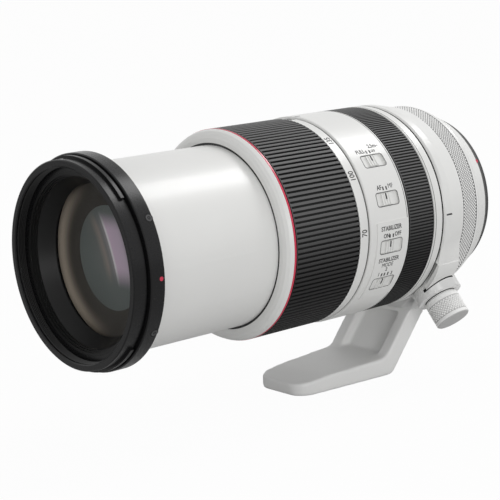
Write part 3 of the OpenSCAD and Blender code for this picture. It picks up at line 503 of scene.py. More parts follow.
class Finishes:
    """All finishes of the lens, by name."""

    WHITE = Finish("white_satin_paint", Slot.WHITE_PAINT, (0.80, 0.80, 0.785), 0.36, coat=0.12, mottle=0.012)
    # Paler than WHITE: painted light that brightens the foot, which sits in the shade under the barrel.
    WHITE_CAST_LIT = Finish(
        "white_cast_lit_paint", Slot.WHITE_PAINT, (0.86, 0.86, 0.85), 0.42, grain=0.4, bump=0.07, mottle=0.015,
    )
    WHITE_MOULDED = Finish("white_moulded", Slot.WHITE_PLASTIC, (0.79, 0.79, 0.775), mottle=0.012)
    # The knurl's hollows are darkened with painted shade.
    KNURLED = Grooved(
        "white_knurled_paint", Slot.WHITE_PAINT, (0.94, 0.94, 0.93), 0.42, mottle=0.015,
        groove_r=42.05, crest_r=42.23, depth=0.1, groove_shade_colour=(0.1, 0.1, 0.099),
    )
    # Knob: painted shade in the knurl's pits and on its end face.
    KNOB = GroovedKnob(
        "white_knob_paint", Slot.WHITE_PAINT, (0.93, 0.93, 0.92), 0.42, mottle=0.015,
        groove_r=7.62, crest_r=7.78, depth=0.1, groove_shade_colour=(0.56, 0.56, 0.554),
    )
    BLACK = Finish("black_satin_paint", Slot.BLACK_PAINT, (0.008, 0.008, 0.0085), 0.28, mottle=0.06, specular=0.24)
    BLACK_MATTE = Finish(
        "black_matte_paint", Slot.BLACK_PAINT, grey(0.007), 0.6, bump=0.08, mottle=0.08, specular=0.15,
    )
    BLACK_MOULDED = Finish("black_moulded", Slot.BLACK_PLASTIC, (0.012, 0.012, 0.013), 0.5, mottle=0.06)
    # Grip rubber: painted shade in the grooves, and a painted sheen that makes the crests paler on the upper side.
    ZOOM_RUBBER = Grooved(
        "zoom_grip_rubber", Slot.GRIP_RUBBER, (0.009, 0.009, 0.0092), 0.55, bump=0.1, mottle=0.08, specular=0.26,
        painted_sheen_colour=grey(0.11),
    )
    FOCUS_RUBBER = replace(ZOOM_RUBBER, name="focus_grip_rubber", groove_r=44.75, crest_r=44.97)
    RUBBER = Finish("gasket_rubber", Slot.GRIP_RUBBER, grey(0.05), 0.65, bump=0.1, mottle=0.08)
    RED = Finish("red_trim", Slot.RED_TRIM, (0.5, 0.006, 0.02), 0.34, coat=0.15, mottle=0.02)
    STEEL = Finish("turned_steel", Slot.MOUNT_STEEL, (0.62, 0.62, 0.64), 0.28, 1.0, turned=True, bump=0.05)
    SCREW_STEEL = Finish("screw_steel", Slot.MOUNT_STEEL, (0.3, 0.3, 0.31), 0.4, 1.0, bump=0.05)
    ALLOY = Finish("bare_alloy", Slot.BARE_ALLOY, (0.5, 0.5, 0.52), 0.38, 1.0, turned=True, bump=0.06)
    GOLD = Finish("gold_contact", Slot.CONTACT_GOLD, (0.85, 0.6, 0.2), 0.22, 1.0, bump=0.02)
    BRASS = Finish("brass_pin", Slot.FOLLOWER_BRASS, (0.7, 0.5, 0.2), 0.32, 1.0, turned=True)
    GLASS = Finish("clear_glass", Slot.LENS_GLASS, (0.1, 0.12, 0.11), 0.06, coat=1.0, bump=0.0, alpha=0.35)
    FRONT_GLASS = Finish(
        "front_coated_glass", Slot.LENS_GLASS, grey(0.01), 0.07, bump=0.0, alpha=0.08, specular=0.12,
    )
    INNER_GLASS = CoatedGlass(
        "inner_coated_glass", Slot.LENS_GLASS, (0.2, 0.225, 0.215), 0.2, bump=0.0, specular=0.1,
    )
    DEPTHS = CellDepths("cell_depths", Slot.BLACK_PAINT, (0.07, 0.064, 0.056), bump=0.0, specular=0.1)
    BOARD = Finish("circuit_board", Slot.CIRCUIT_BOARD, (0.02, 0.12, 0.05), mottle=0.15)
    PRINT = Finish("dark_print", Slot.BLACK_PLASTIC, (0.02, 0.02, 0.021), 0.5)
    # Dark frames round the switches: painted shade at the edges of their recesses.
    RECESS_SHADE = Finish("switch_outline", Slot.BLACK_PLASTIC, grey(0.13), 0.5)
    # Dark sheets in gaps: painted shade.
    GAP = Finish("gap_shade", Slot.BLACK_PLASTIC, grey(0.02), 0.7, specular=0.1)
    # Thin dark lines in seams and under the raised pad: painted shade.
    SHADE_LINE = Finish("painted_shade_line", Slot.BLACK_PLASTIC, grey(0.14), 0.5)
    THREAD = Finish("black_thread", Slot.BLACK_PAINT, grey(0.006), 0.35, mottle=0.06, specular=0.25)
    BAFFLE = Finish("black_baffle", Slot.BLACK_PAINT, grey(0.011), mottle=0.06, specular=0.2)
    # Paler than the baffle: a painted highlight on the ridges' crests.
    RIDGE = Finish("black_ridge", Slot.BLACK_PAINT, grey(0.05), 0.35, mottle=0.06, specular=0.4)
    SCREW = Finish("black_screw", Slot.BLACK_PAINT, (0.05, 0.05, 0.052), mottle=0.06)
    IRIS = Finish("iris_black", Slot.IRIS_BLACK, grey(0.01), 0.5, 0.6, mottle=0.1)


# Shapes


def on_lens(rho: float, angle: float, station: float) -> Vector:
    """Point on the lens, in metres."""
    cos, sin = compass(angle)
    return Vector((rho * cos, -station, rho * sin)) * MM


def spaced(first: float, last: float, steps: int) -> list[float]:
    """Even steps from one value to another, with both ends."""
    return [first + (last - first) * i / steps for i in range(steps + 1)]


@dataclass(frozen=True)
class Span:
    """Where a turned piece of the frame lies: its outer radius, and its first and last station."""

    radius: float
    first: float
    last: float

    @classmethod
    def of(cls, node: str) -> Span:
        """Reads the span of a CAD node that is centred on the lens axis."""
        low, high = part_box(node)
        return cls(high.z / MM, -high.y / MM, -low.y / MM)


def finished(name: str, bm: Shape, sharp: float = 32.0) -> bpy.types.Object:
    """Turns a shape into an object with smooth faces and sharp edges.

    Args:
        name: name of the object.
        bm: the shape; it is freed.
        sharp: angle above which an edge stays sharp.

    Returns:
        The object, at the origin.
    """
    mesh = bpy.data.meshes.new(name)
    bm.to_mesh(mesh)
    bm.free()
    mesh.polygons.foreach_set("use_smooth", [True] * len(mesh.polygons))
    mesh.set_sharp_from_angle(angle=math.radians(sharp))
    made = bpy.data.objects.new(name, mesh)
    bpy.context.scene.collection.objects.link(made)
    return made


def add_piece(name: str, bm: Shape, body: str, finish: Finish, *nodes: str, sharp: float = 32.0) -> None:
    """Makes a piece, gives it its finish and lets it ride on a body.

    Args:
        name: name of the piece.
        bm: its shape, in place; it is freed.
        body: CAD body it moves with.
        finish: its finish.
        nodes: CAD nodes it stands for.
        sharp: angle above which an edge stays sharp.
    """
    piece = finished(name, bm, sharp)
    piece.data.materials.append(finish.material())
    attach(piece, body)
    if nodes:
        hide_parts(*nodes)
    LOG.info("piece %s on %s", piece.name, body)


def evaluated(holder: bpy.types.Object) -> Shape:
    """Final shape of an object with modifiers or text.

    Args:
        holder: the object; it is removed.

    Returns:
        The shape.
    """
    depsgraph = bpy.context.evaluated_depsgraph_get()
    mesh = bpy.data.meshes.new_from_object(holder.evaluated_get(depsgraph))
    holder.modifiers.clear()
    bpy.data.batch_remove((holder, holder.data))
    bm = bmesh.new()
    bm.from_mesh(mesh)
    bpy.data.meshes.remove(mesh)
    return bm


def merge(bm: Shape, part: Shape) -> None:
    """Adds one shape to another.

    Args:
        bm: shape to add to.
        part: the added shape; it is freed.
    """
    mesh = bpy.data.meshes.new("part")
    part.to_mesh(mesh)
    part.free()
    bm.from_mesh(mesh)
    bpy.data.meshes.remove(mesh)


class Ends(Enum):
    """How a row of loops ends."""

    JOINED = "the last loop goes on to the first"
    FACES = "one face closes each end"


def bridge(bm: Shape, loops: Sequence[Sequence[bmesh.types.BMVert]], ends: Ends) -> None:
    """Adds the faces between loops of vertices, each loop to the next, and turns them outwards.

    Args:
        bm: shape to add to.
        loops: closed loops with the same count of vertices.
        ends: what follows the last loop.
    """
    after = [*loops[1:], loops[0]] if ends is Ends.JOINED else loops[1:]
    faces = [(a[j - 1], a[j], b[j], b[j - 1]) for a, b in zip(loops, after) for j in range(len(a))]
    if ends is Ends.FACES:
        faces += [loops[0], loops[-1][::-1]]
    corners = [list(dict.fromkeys(face)) for face in faces]
    made = [bm.faces.new(face) for face in corners if len(face) > 2]
    bmesh.ops.recalc_face_normals(bm, faces=made)


def lathe(bm: Shape, profile: Profile, steps: int = 180) -> None:
    """Adds a closed ring, turned from a closed profile.

    Args:
        bm: shape to add to.
        profile: radius and station of each corner of the section, in order.
        steps: faces round the axis.
    """
    poles = {j: bm.verts.new(on_lens(0, 0, s)) for j, (rho, s) in enumerate(profile) if rho == 0}
    bridge(bm, [
        [poles.get(j) or bm.verts.new(on_lens(rho, angle, s)) for j, (rho, s) in enumerate(profile)]
        for angle in spaced(0, 360, steps)[:-1]
    ], Ends.JOINED)


def patch(
    bm: Shape, rho: float, angles: Pair, stations: Pair, proud: float = 0.04, sunk: float = 0.06, steps: int = 4,
) -> None:
    """Adds a thin curved plate that lies on a cylinder.

    Args:
        bm: shape to add to.
        rho: radius of the surface.
        angles: first and last angle.
        stations: first and last station.
        proud: height above the surface.
        sunk: depth below the surface.
        steps: faces along the arc.
    """
    first, last = stations
    section = [(rho - sunk, first), (rho + proud, first), (rho + proud, last), (rho - sunk, last)]
    rows = [[bm.verts.new(on_lens(r, angle, s)) for r, s in section] for angle in spaced(*angles, steps)]
    bridge(bm, rows, Ends.FACES)


def slab(bm: Shape, top: Sequence[Sequence[Vector]], bottom: Sequence[Sequence[Vector]]) -> None:
    """Adds a closed plate between two grids of points.

    Args:
        bm: shape to add to.
        top: rows of points on the outside.
        bottom: rows of points on the inside, as many as outside.
    """
    rows, columns = len(top) - 1, len(top[0]) - 1
    upper, lower = ([[bm.verts.new(point) for point in row] for row in grid] for grid in (top, bottom))
    faces = [
        (grid[i][j], grid[i][j + 1], grid[i + 1][j + 1], grid[i + 1][j])
        for grid in (upper, lower) for i in range(rows) for j in range(columns)
    ]
    edge = [(0, j) for j in range(columns)] + [(i, columns) for i in range(rows)]
    edge += [(rows, j) for j in range(columns, 0, -1)] + [(i, 0) for i in range(rows, 0, -1)]
    for (a, b), (c, d) in zip(edge, edge[1:] + edge[:1]):
        faces.append((upper[a][b], lower[a][b], lower[c][d], upper[c][d]))
    bmesh.ops.recalc_face_normals(bm, faces=[bm.faces.new(face) for face in faces])


def disc(
    bm: Shape, rho: float, angle: float, station: float, radius: float, proud: float = 0.04, hole: float = 0.0,
    sunk: float = 0.1, steps: int = 28,
) -> None:
    """Adds a thin round plate, or a ring, that lies on a cylinder.

    Args:
        bm: shape to add to.
        rho: radius of the cylinder.
        angle: angle of the middle.
        station: station of the middle.
        radius: outer radius.
        proud: height above the surface.
        hole: inner radius, or 0 for a full plate.
        sunk: depth below the surface.
        steps: faces round the edge.
    """
    per_mm = math.degrees(1 / rho)
    rims = [(radius, -sunk), (radius, proud)] + ([(hole, proud), (hole, -sunk)] if hole else [])
    turns = [compass(a) for a in spaced(0, 360, steps)[:-1]]
    bridge(bm, [
        [bm.verts.new(on_lens(rho + lift, angle + r * sin * per_mm, station + r * cos)) for cos, sin in turns]
        for r, lift in rims
    ], Ends.JOINED if hole else Ends.FACES)


class Reading(Enum):
    """Which way lettering runs on the lens."""

    ALONG = "along the axis, tops away from the foot"
    AROUND = "round the axis, tops to the front"


def lettering(
    bm: Shape, text: str, height: float, rho: float, angle: float, station: float, reading: Reading,
    stretch: float = 0.88, bold: float = 0.05, proud: float = 0.04,
) -> None:
    """Adds raised letters, centred on a point of a cylinder.

    Args:
        bm: shape to add to.
        text: what it says.
        height: height of a capital letter.
        rho: radius of the surface.
        angle: angle of the middle.
        station: station of the middle.
        reading: which way the words run.
        stretch: width of the letters against the plain typeface.
        bold: growth of each stroke.
        proud: height above the surface.
    """
    capital_share, curve_steps, weld = 0.7, 3, 1e-5
    curve = bpy.data.curves.new("letters", "FONT")
    curve.body = text
    curve.size = height / capital_share
    curve.align_x, curve.align_y = "CENTER", "CENTER"
    curve.extrude = proud
    curve.offset = bold
    curve.resolution_u = curve_steps
    holder = bpy.data.objects.new("letters", curve)
    bpy.context.scene.collection.objects.link(holder)
    part = evaluated(holder)
    bmesh.ops.remove_doubles(part, verts=part.verts, dist=weld)
    per_mm = math.degrees(1 / rho)
    for v in part.verts:
        x, y, lift = v.co
        turn, ahead = (y, -x * stretch) if reading is Reading.ALONG else (x * stretch, y)
        v.co = on_lens(rho + lift, angle + turn * per_mm, station + ahead)
    merge(bm, part)


# Geometry nodes


class RingArray:
    """Geometry Nodes tree that sets copies of a small shape in rows round the lens axis."""

    INPUTS = {
        "Columns": "NodeSocketInt",
        "Rows": "NodeSocketInt",
        "Radius": "NodeSocketFloat",
        "First station": "NodeSocketFloat",
        "Row pitch": "NodeSocketFloat",
        "Stagger": "NodeSocketFloat",
        "Material": "NodeSocketMaterial",
    }
    STAGGER = 0.5

    def __init__(self) -> None:
        """Builds the tree with its named inputs."""
        self.tree = bpy.data.node_groups.new("ring_array", "GeometryNodeTree")
        face = self.tree.interface
        face.new_socket("Geometry", in_out="INPUT", socket_type="NodeSocketGeometry")
        self.keys = {
            name: face.new_socket(name, in_out="INPUT", socket_type=kind).identifier
            for name, kind in self.INPUTS.items()
        }
        face.new_socket("Geometry", in_out="OUTPUT", socket_type="NodeSocketGeometry")
        self._fill(Net(self.tree))

    @staticmethod
    def _fill(net: Net) -> None:
        """Adds the nodes.

        Args:
            net: the tree, with its inputs in place.
        """
        given = net.tree.nodes.new("NodeGroupInput")
        wires = {s.name: Wire(net, s) for s in given.outputs if s.name}
        columns, radius = wires["Columns"], wires["Radius"]
        points = net.node("GeometryNodePoints", None, {"Count": columns * wires["Rows"]})
        index = net.node("GeometryNodeInputIndex")
        row = ((index + 0.5) / columns).floor()
        angle = (index % columns + row % 2 * wires["Stagger"]) / columns * math.tau
        station = wires["First station"] + row * wires["Row pitch"]
        spot = net.node("ShaderNodeCombineXYZ", None, [radius * angle.cos(), station * -1, radius * angle.sin()])
        placed = net.node("GeometryNodeSetPosition", None, {"Geometry": points, "Position": spot})
        turn = net.node("ShaderNodeCombineXYZ", None, [0.0, angle * -1, 0.0])
        facing = net.node("FunctionNodeEulerToRotation", None, [turn])
        copies = {"Points": placed, "Instance": wires["Geometry"], "Rotation": facing}
        plain = net.node("GeometryNodeRealizeInstances", None, [
            net.node("GeometryNodeInstanceOnPoints", None, copies),
        ])
        painted = net.node("GeometryNodeSetMaterial", None, {"Geometry": plain, "Material": wires["Material"]})
        net.node("NodeGroupOutput", None, [painted])

    def spread(
        self, shape: Shape, finish: Finish, columns: int, radius: float, station: float, rows: int = 1,
        row_pitch: float = 0.0,
    ) -> Shape:
        """Sets copies of a shape round the axis.

        Args:
            shape: the shape in metres, with +X away from the axis and Y along it; it is freed.
            finish: finish of the copies.
            columns: copies in one row.
            radius: distance of the shape's origin from the axis.
            station: station of the first row.
            rows: number of rows; every second one is turned by half a column.
            row_pitch: distance between rows.

        Returns:
            All copies as one plain shape.
        """
        item = finished("array_item", shape)
        modifier = item.modifiers.new("array", "NODES")
        modifier.node_group = self.tree
        values = {
            "Columns": columns,
            "Rows": rows,
            "Radius": radius * MM,
            "First station": station * MM,
            "Row pitch": row_pitch * MM,
            "Stagger": self.STAGGER,
            "Material": finish.material(),
        }
        for name, value in values.items():
            modifier[self.keys[name]] = value
        return evaluated(item)

    def knurl(self, finish: Finish, columns: int, root: float, depth: float, low: float, high: float) -> Shape:
        """Fills a band round the axis with the diamonds of a knurl.

        Args:
            finish: finish of the diamonds.
            columns: diamonds in one row.
            root: radius at their feet.
            depth: their height.
            low: first station of the band.
            high: last station of the band.

        Returns:
            All diamonds as one plain shape.
        """
        width = math.tau * root / columns
        rows = 2 * round((high - low) / width) - 1
        pitch = (high - low) / (rows + 1)
        return self.spread(diamond(width, 2 * pitch, depth), finish, columns, root, low + pitch, rows, pitch)


def bar(section: Profile, length: float) -> Shape:
    """A straight bar along Y.

    Args:
        section: radial and sideways place of each corner, in order.
        length: length of the bar.

    Returns:
        The bar, from Y = 0 towards -Y.
    """
    bm = bmesh.new()
    ends = [[bm.verts.new(Vector((r, y, side)) * MM) for r, side in section] for y in (0.0, -length)]
    bridge(bm, ends, Ends.FACES)
    return bm


def diamond(width: float, length: float, height: float) -> Shape:
    """A four-sided pyramid for a knurl.

    Args:
        width: size round the axis.
        length: size along the axis.
        height: height of the point.

    Returns:
        The pyramid, with its base at the origin.
    """
    bm = bmesh.new()
    corners = [(0, 0, width / 2), (0, length / 2, 0), (0, 0, -width / 2), (0, -length / 2, 0)]
    base = [bm.verts.new(Vector(c) * MM) for c in corners]
    tip = bm.verts.new(Vector((height, 0, 0)) * MM)
    bridge(bm, [base, [tip] * len(base)], Ends.FACES)
    return bm


# Sub-assemblies


@dataclass
class Grip:
    """A ribbed rubber grip."""

    node: str
    body: str
    finish: Finish
    ribs: int
    rib_height: float
    wall: float = 1.32
    crest_share: float = 0.56
    flare_share: float = 0.16
    foot_height: float = 0.1
    edge: float = 0.1
    rim: float = 0.35
    rim_share: float = 0.92

    def build(self, array: RingArray) -> None:
        """Builds the sleeve and its ribs.

        Args:
            array: tree that sets the ribs round the sleeve.
        """
        span = Span.of(self.node)
        low, high, bore = span.first, span.last, span.radius - self.wall
        top, toe, edge = self.rib_height, self.foot_height, self.edge
        root = span.radius - top
        pitch = math.tau * span.radius / self.ribs
        half, foot = pitch * self.crest_share / 2, pitch * (self.crest_share + self.flare_share) / 2
        side = [(-toe, foot), (toe, foot), (top - edge, half), (top, half - edge)]
        section = [(r, -across) for r, across in side] + side[::-1]
        bm = array.spread(bar(section, high - low), self.finish, self.ribs, root, low)
        rim, start, end = root + self.rim_share * top, low + self.rim, high - self.rim
        lathe(bm, [
            (bore, low), (rim, low), (rim, start), (root, start),
            (root, end), (rim, end), (rim, high), (bore, high),
        ])
        add_piece(self.node + "_ribbed", bm, self.body, self.finish, self.node)


@dataclass
class ControlRing:
    """The control ring with its diamond knurl."""

    node: str = "control_ring"
    columns: int = 184
    wall: float = 0.94
    depth: float = 0.34
    border: float = 0.7
    lip_step: float = 0.1
    bevel: float = 0.2

    def build(self, array: RingArray) -> None:
        """Builds the ring and its knurl.

        Args:
            array: tree that sets the diamonds round the ring.
        """
        span = Span.of(self.node)
        low, high = span.first, span.last
        start, end = low + self.border, high - self.border
        root, lip, bevel = span.radius - self.depth, span.radius - self.lip_step, self.bevel
        bm = array.knurl(Finishes.KNURLED, self.columns, root, self.depth, start, end)
        lathe(bm, [
            (span.radius - self.wall, low), (lip - bevel, low), (lip, low + bevel), (lip, start - bevel),
            (root, start), (root, end),
            (lip, end + bevel), (lip, high - bevel), (lip - bevel, high), (span.radius - self.wall, high),
        ])
        add_piece(self.node + "_knurled", bm, self.node, Finishes.KNURLED, self.node)


@dataclass
class ClampKnob:
    """Knurled knob that tightens the collar."""

    node: str = "clamp_knob"
    radius: float = 8.0
    near: float = 51.5
    far: float = 63.3
    columns: int = 34
    depth: float = 0.38
    skin_step: float = 0.12
    plain_near: float = 3.0
    plain_far: float = 1.9
    run_out: float = 0.25
    far_bevel: float = 0.5
    near_round: tuple[Pair, ...] = ((0.9, 0.0), (0.2, 0.7), (0.0, 1.4))
    hole: float = 2.6
    hole_end: float = 2.9
    steps: int = 96
    shade_ring_inset: float = 0.6
    shade_ring_height: float = 0.22
    shade_ring_steps: int = 64

    def build(self, array: RingArray) -> None:
        """Builds the knob and a dark ring under it, painted shade in the gap at its foot.

        Args:
            array: tree that sets the diamonds round the knob.
        """
        root, skin = self.radius - self.depth, self.radius - self.skin_step
        neck, cap = self.near + self.plain_near, self.far - self.plain_far
        floor = self.far - self.hole_end
        bm = array.knurl(Finishes.KNOB, self.columns, root, self.depth, neck, cap)
        lathe(bm, [
            (self.hole, self.near), *((skin - inset, self.near + rise) for inset, rise in self.near_round),
            (skin, neck - self.run_out), (root, neck), (root, cap), (skin, cap + self.run_out),
            (skin, self.far - self.far_bevel), (skin - self.far_bevel, self.far),
            (0, self.far), (0, floor), (self.hole, floor),
        ], self.steps)
        add_piece(self.node + "_knurled", self._placed(bm), self.node, Finishes.KNOB, self.node)
        # Painted shade: a dark ring fills the gap between the knob and its boss.
        rim, low = skin - self.shade_ring_inset, self.near - self.shade_ring_height
        bm = bmesh.new()
        lathe(bm, [(self.hole, low), (rim, low), (rim, self.near), (self.hole, self.near)], self.shade_ring_steps)
        add_piece("clamp_shade_ring", self._placed(bm), self.node, Finishes.GAP)

    @staticmethod
    def _placed(bm: Shape) -> Shape:
        """Lays a shape that was turned about the lens axis onto the knob's axis.

        Args:
            bm: the shape; its stations become distances from the lens axis.

        Returns:
            The same shape.
        """
        cos, sin = compass(KNOB_ANGLE)
        out, along = Vector((cos, 0, sin)), Vector((0, 1, 0))
        turn = Matrix((along.cross(out), -out, along)).transposed().to_4x4()
        bm.transform(Matrix.Translation(Vector((0, -KNOB_STATION * MM, 0))) @ turn)
        return bm


@dataclass
class StrapLip:
    """Lower end of the strap: a lip that flares out round the clamp boss, and a dark sheet of painted shade in the
    gap between the two.
    """

    seam: float = -28.0
    seam_gap: Pair = (0.05, 0.3)
    start: float = -14.0
    ear_radius: float = 46.55
    crown: float = 48.4
    sunk: float = 0.05
    thickness: float = 0.5
    full_flare: float = 1.5
    boss: float = 10.5
    gap: float = 0.7
    shade_wall: Pair = (0.12, 0.03)
    shade_top: float = 48.65
    shade_depth: float = 1.0
    narrow: Pair = (25.8, 38.9)
    wide: Pair = (27.8, 40.7)
    columns: int = 28
    rows: int = 9
    strap_radius: float = 45.0
    rear_run: float = 9.8
    rear_slope: float = 1.74 / 9.3
    front_run: float = 1.6
    front_slope: float = 0.75

    def build(self) -> None:
        """Builds the lip and the painted shade in the gap."""
        strap = Span.of("collar_strap")
        low, high = (self.seam + gap for gap in self.seam_gap)
        top, bottom = [], []
        for i in range(2 * self.rows):
            share = (i % self.rows) / (self.rows - 1)
            whole = min(1.0, (i / self.rows) / self.full_flare)
            rise = whole ** 3 * (10 - 15 * whole + 6 * whole ** 2)  # level and unbent at both ends
            places = self._places(rise)
            skins = [self._skin(strap, s) for s in places]
            crowns = [r - self.sunk + (self.crown - r + self.sunk) * rise for r in skins]
            if i < self.rows:
                angle = self.start + (high - self.start) * share
                top.append([on_lens(r, angle, s) for r, s in zip(crowns, places)])
                bottom.append([on_lens(r - self.thickness, angle, s) for r, s in zip(skins, places)])
                continue
            for grid, radii in ((top, crowns), (bottom, [self.ear_radius] * len(places))):
                ends = [self._edge(s, self.boss + self.gap, r) for r, s in zip(radii, places)]
                grid.append([on_lens(r, low + (e - low) * share, s) for r, e, s in zip(radii, ends, places)])
        lip, shade = bmesh.new(), bmesh.new()
        slab(lip, top, bottom)
        add_piece("strap_lip", lip, "collar_strap", Finishes.WHITE)
        # Painted shade: a dark sheet down in the gap between the lip and the boss.
        slab(shade, *(
            [[on_lens(r, self._edge(s, self.boss + out, r), s) for s in self._places(1.0)] for out in self.shade_wall]
            for r in (self.shade_top, self.crown - self.shade_depth)
        ))
        add_piece("strap_gap_shade", shade, "collar", Finishes.GAP)

    def _places(self, flare: float) -> list[float]:
        """Stations across the lip: from the strap's at a flare of 0 to the boss's at 1."""
        first, last = (n + (w - n) * flare for n, w in zip(self.narrow, self.wide))
        return spaced(first, last, self.columns)

    @staticmethod
    def _edge(station: float, away: float, rho: float) -> float:
        """Angle at which a cylinder round the knob's axis crosses a station, above the knob.

        Args:
            station: the station.
            away: radius of the cylinder.
            rho: distance from the lens axis.

        Returns:
            The angle.
        """
        across = math.sqrt(away ** 2 - (station - KNOB_STATION) ** 2)
        return KNOB_ANGLE + math.degrees(math.asin(across / rho))

    def _skin(self, strap: Span, station: float) -> float:
        """Radius of the strap's outside at a station.

        Args:
            strap: where the strap lies.
            station: the station.

        Returns:
            The radius.
        """
        full, back = strap.first + self.rear_run, strap.last - self.front_run
        if station < full:
            return self.strap_radius - self.rear_slope * (full - station)
        return self.strap_radius - self.front_slope * max(0.0, station - back)


@dataclass
class CastFoot:
    """Saddle of the collar, with the soft edges of a casting on its leg and foot."""

    node: str = "collar_base"
    split: float = -46.5
    fade: float = 3.0
    voxel: float = 0.55
    passes: int = 7
    smoothing: float = 0.5
    weld: float = 0.001

    def build(self, source: bpy.types.Object) -> None:
        """Builds a copy of the saddle: as it is above the split, rounded below it.

        Args:
            source: the CAD node.
        """
        holder = finished("cast_half", self._half(source, True))
        cells = holder.modifiers.new("cells", "REMESH")
        cells.mode, cells.voxel_size = "VOXEL", self.voxel * MM
        bm = evaluated(holder)
        for below in (0.5 * self.fade, self.fade):
            soft = [v for v in bm.verts if v.co.z < (self.split - below) * MM]
            for _ in range(self.passes):
                bmesh.ops.smooth_vert(
                    bm, verts=soft, factor=self.smoothing, use_axis_x=True, use_axis_y=True, use_axis_z=True,
                )
        merge(bm, self._half(source, False))
        add_piece(self.node + "_cast", bm, "collar", Finishes.WHITE_CAST_LIT, self.node)

    def _half(self, source: bpy.types.Object, below: bool) -> Shape:
        """Closed copy of the part of a node above or below the split.

        Args:
            source: the CAD node.
            below: whether the lower part is kept.

        Returns:
            The shape.
        """
        bm = bmesh.new()
        bm.from_mesh(source.data)
        bm.transform(source.matrix_world)
        bmesh.ops.remove_doubles(bm, verts=bm.verts, dist=self.weld * MM)
        bmesh.ops.bisect_plane(
            bm, geom=bm.verts[:] + bm.edges[:] + bm.faces[:], plane_co=(0, 0, self.split * MM), plane_no=(0, 0, 1),
            clear_outer=below, clear_inner=not below,
        )
        bmesh.ops.triangle_fill(bm, use_beauty=True, edges=[e for e in bm.edges if e.is_boundary])
        bmesh.ops.recalc_face_normals(bm, faces=bm.faces)
        return bm


@dataclass(frozen=True)
class Switch:
    """One switch: its slider, its angle, the lift of the ground round it, and the print beside it.

    A tick is given by its station from the index line. A word is given by its text, its station from the index line,
    its rise above the middle of the switch and its height.
    """

    node: str
    angle: float
    lift: float
    words: tuple[tuple[str, float, float, float], ...]
    ticks: tuple[float, ...] = (0.3, -1.6)


@dataclass
class SwitchPanel:
    """Printed marks of the switch panel, dark outlines that paint the shade at the edges of the switch recesses, and
    the index lines on its sliders.
    """

    length: float = 12.3
    width: float = 5.6
    line: float = 0.3
    corner: float = 1.0
    corner_steps: int = 6
    outline_heights: Pair = (-0.1, 0.07)
    middle_back: float = 11.85
    index_back: float = 11.0
    index_rise: Pair = (-0.1, 2.4)
    index_half: float = 0.38
    index_wall: Pair = (0.06, 0.3)
    slider_height: float = 0.35
    tick_rise: Pair = (3.75, 5.25)
    tick_half: float = 0.36
    zoom_mark_angles: Pair = (88.1, 88.9)
    zoom_mark_back: Pair = (3.1, 0.4)
    bold: float = 0.05
    tight_letters: str = "M\u221e"
    switches: tuple[Switch, ...] = (
        Switch("limit_switch", 37.2, 0.0, (
            ("FULL", 3.6, 5.0, 1.85), ("2.5m\u2013", -5.1, 7.2, 1.9), ("\u221e", -3.7, 4.7, 2.1),
        )),
        Switch("focus_switch", 15.3, 0.0, (("AF", 2.4, 4.95, 1.9), ("MF", -4.2, 5.1, 1.9))),
        Switch("steady_switch", -10.2, 0.45, (
            ("STABILIZER", -0.6, 7.8, 1.88), ("ON", 2.3, 4.75, 1.75), ("OFF", -4.4, 4.85, 1.75),
        )),
        Switch("mode_switch", -32.6, 0.45, (
            ("STABILIZER", -0.6, 11.6, 1.88), ("MODE", -0.5, 9.15, 1.88),
            ("1", 3.2, 4.85, 1.7), ("2", -0.6, 6.95, 1.7), ("3", -4.6, 4.4, 1.7),
        ), (1.3, -0.4, -2.4)),
    )

    def build(self) -> None:
        """Builds the outlines of painted shade, the words and the index lines."""
        panel = Span.of("switch_panel")
        per_mm = math.degrees(1 / panel.radius)
        index = panel.last - self.index_back
        outlines, words = bmesh.new(), bmesh.new()
        for switch in self.switches:
            rho = panel.radius + switch.lift
            self._outline(outlines, switch.angle, rho, panel.last - self.middle_back, per_mm)
            rows = tuple(switch.angle + rise * per_mm for rise in self.tick_rise)
            for tick in switch.ticks:
                patch(words, rho, rows, (index + tick - self.tick_half, index + tick + self.tick_half))
            for text, shift, rise, height in switch.words:
                bold = 0.0 if set(text) & set(self.tight_letters) else self.bold
                lettering(words, text, height, rho, switch.angle + rise * per_mm, index + shift, Reading.ALONG,
                          bold=bold)
            line = bmesh.new()
            rows = tuple(switch.angle + rise * per_mm for rise in self.index_rise)
            ends = index - self.index_half, index + self.index_half
            patch(line, rho + self.slider_height, rows, ends, *self.index_wall)
            add_piece(switch.node + "_index", line, switch.node, Finishes.PRINT)
        first, last = (panel.last - back for back in self.zoom_mark_back)
        patch(words, panel.radius, self.zoom_mark_angles, (first, last))
        add_piece("switch_outlines", outlines, "barrel", Finishes.RECESS_SHADE)
        add_piece("switch_words", words, "barrel", Finishes.PRINT)

    def _outline(self, bm: Shape, angle: float, rho: float, station: float, per_mm: float) -> None:
        """Adds the thin rounded dark frame round one switch, painted shade at the edge of its recess.

        Args:
            bm: shape to add to.
            angle: angle of its middle.
            rho: radius of the surface.
            station: station of its middle.
            per_mm: degrees of arc for one millimetre.
        """
        inset = self.length / 2 - self.corner, self.width / 2 - self.corner
        low, high = self.outline_heights
        loops = []
        for radius, lift in (
            (self.corner, low), (self.corner, high), (self.corner + self.line, high), (self.corner + self.line, low),
        ):
            loop = []
            for quarter, (u, v) in enumerate(((1, 1), (-1, 1), (-1, -1), (1, -1))):
                for turn in spaced(90 * quarter, 90 * quarter + 90, self.corner_steps):
                    cos, sin = compass(turn)
                    ahead, up = u * inset[0] + radius * cos, v * inset[1] + radius * sin
                    loop.append(bm.verts.new(on_lens(rho + lift, angle + up * per_mm, station + ahead)))
            loops.append(loop)
        bridge(bm, loops, Ends.JOINED)


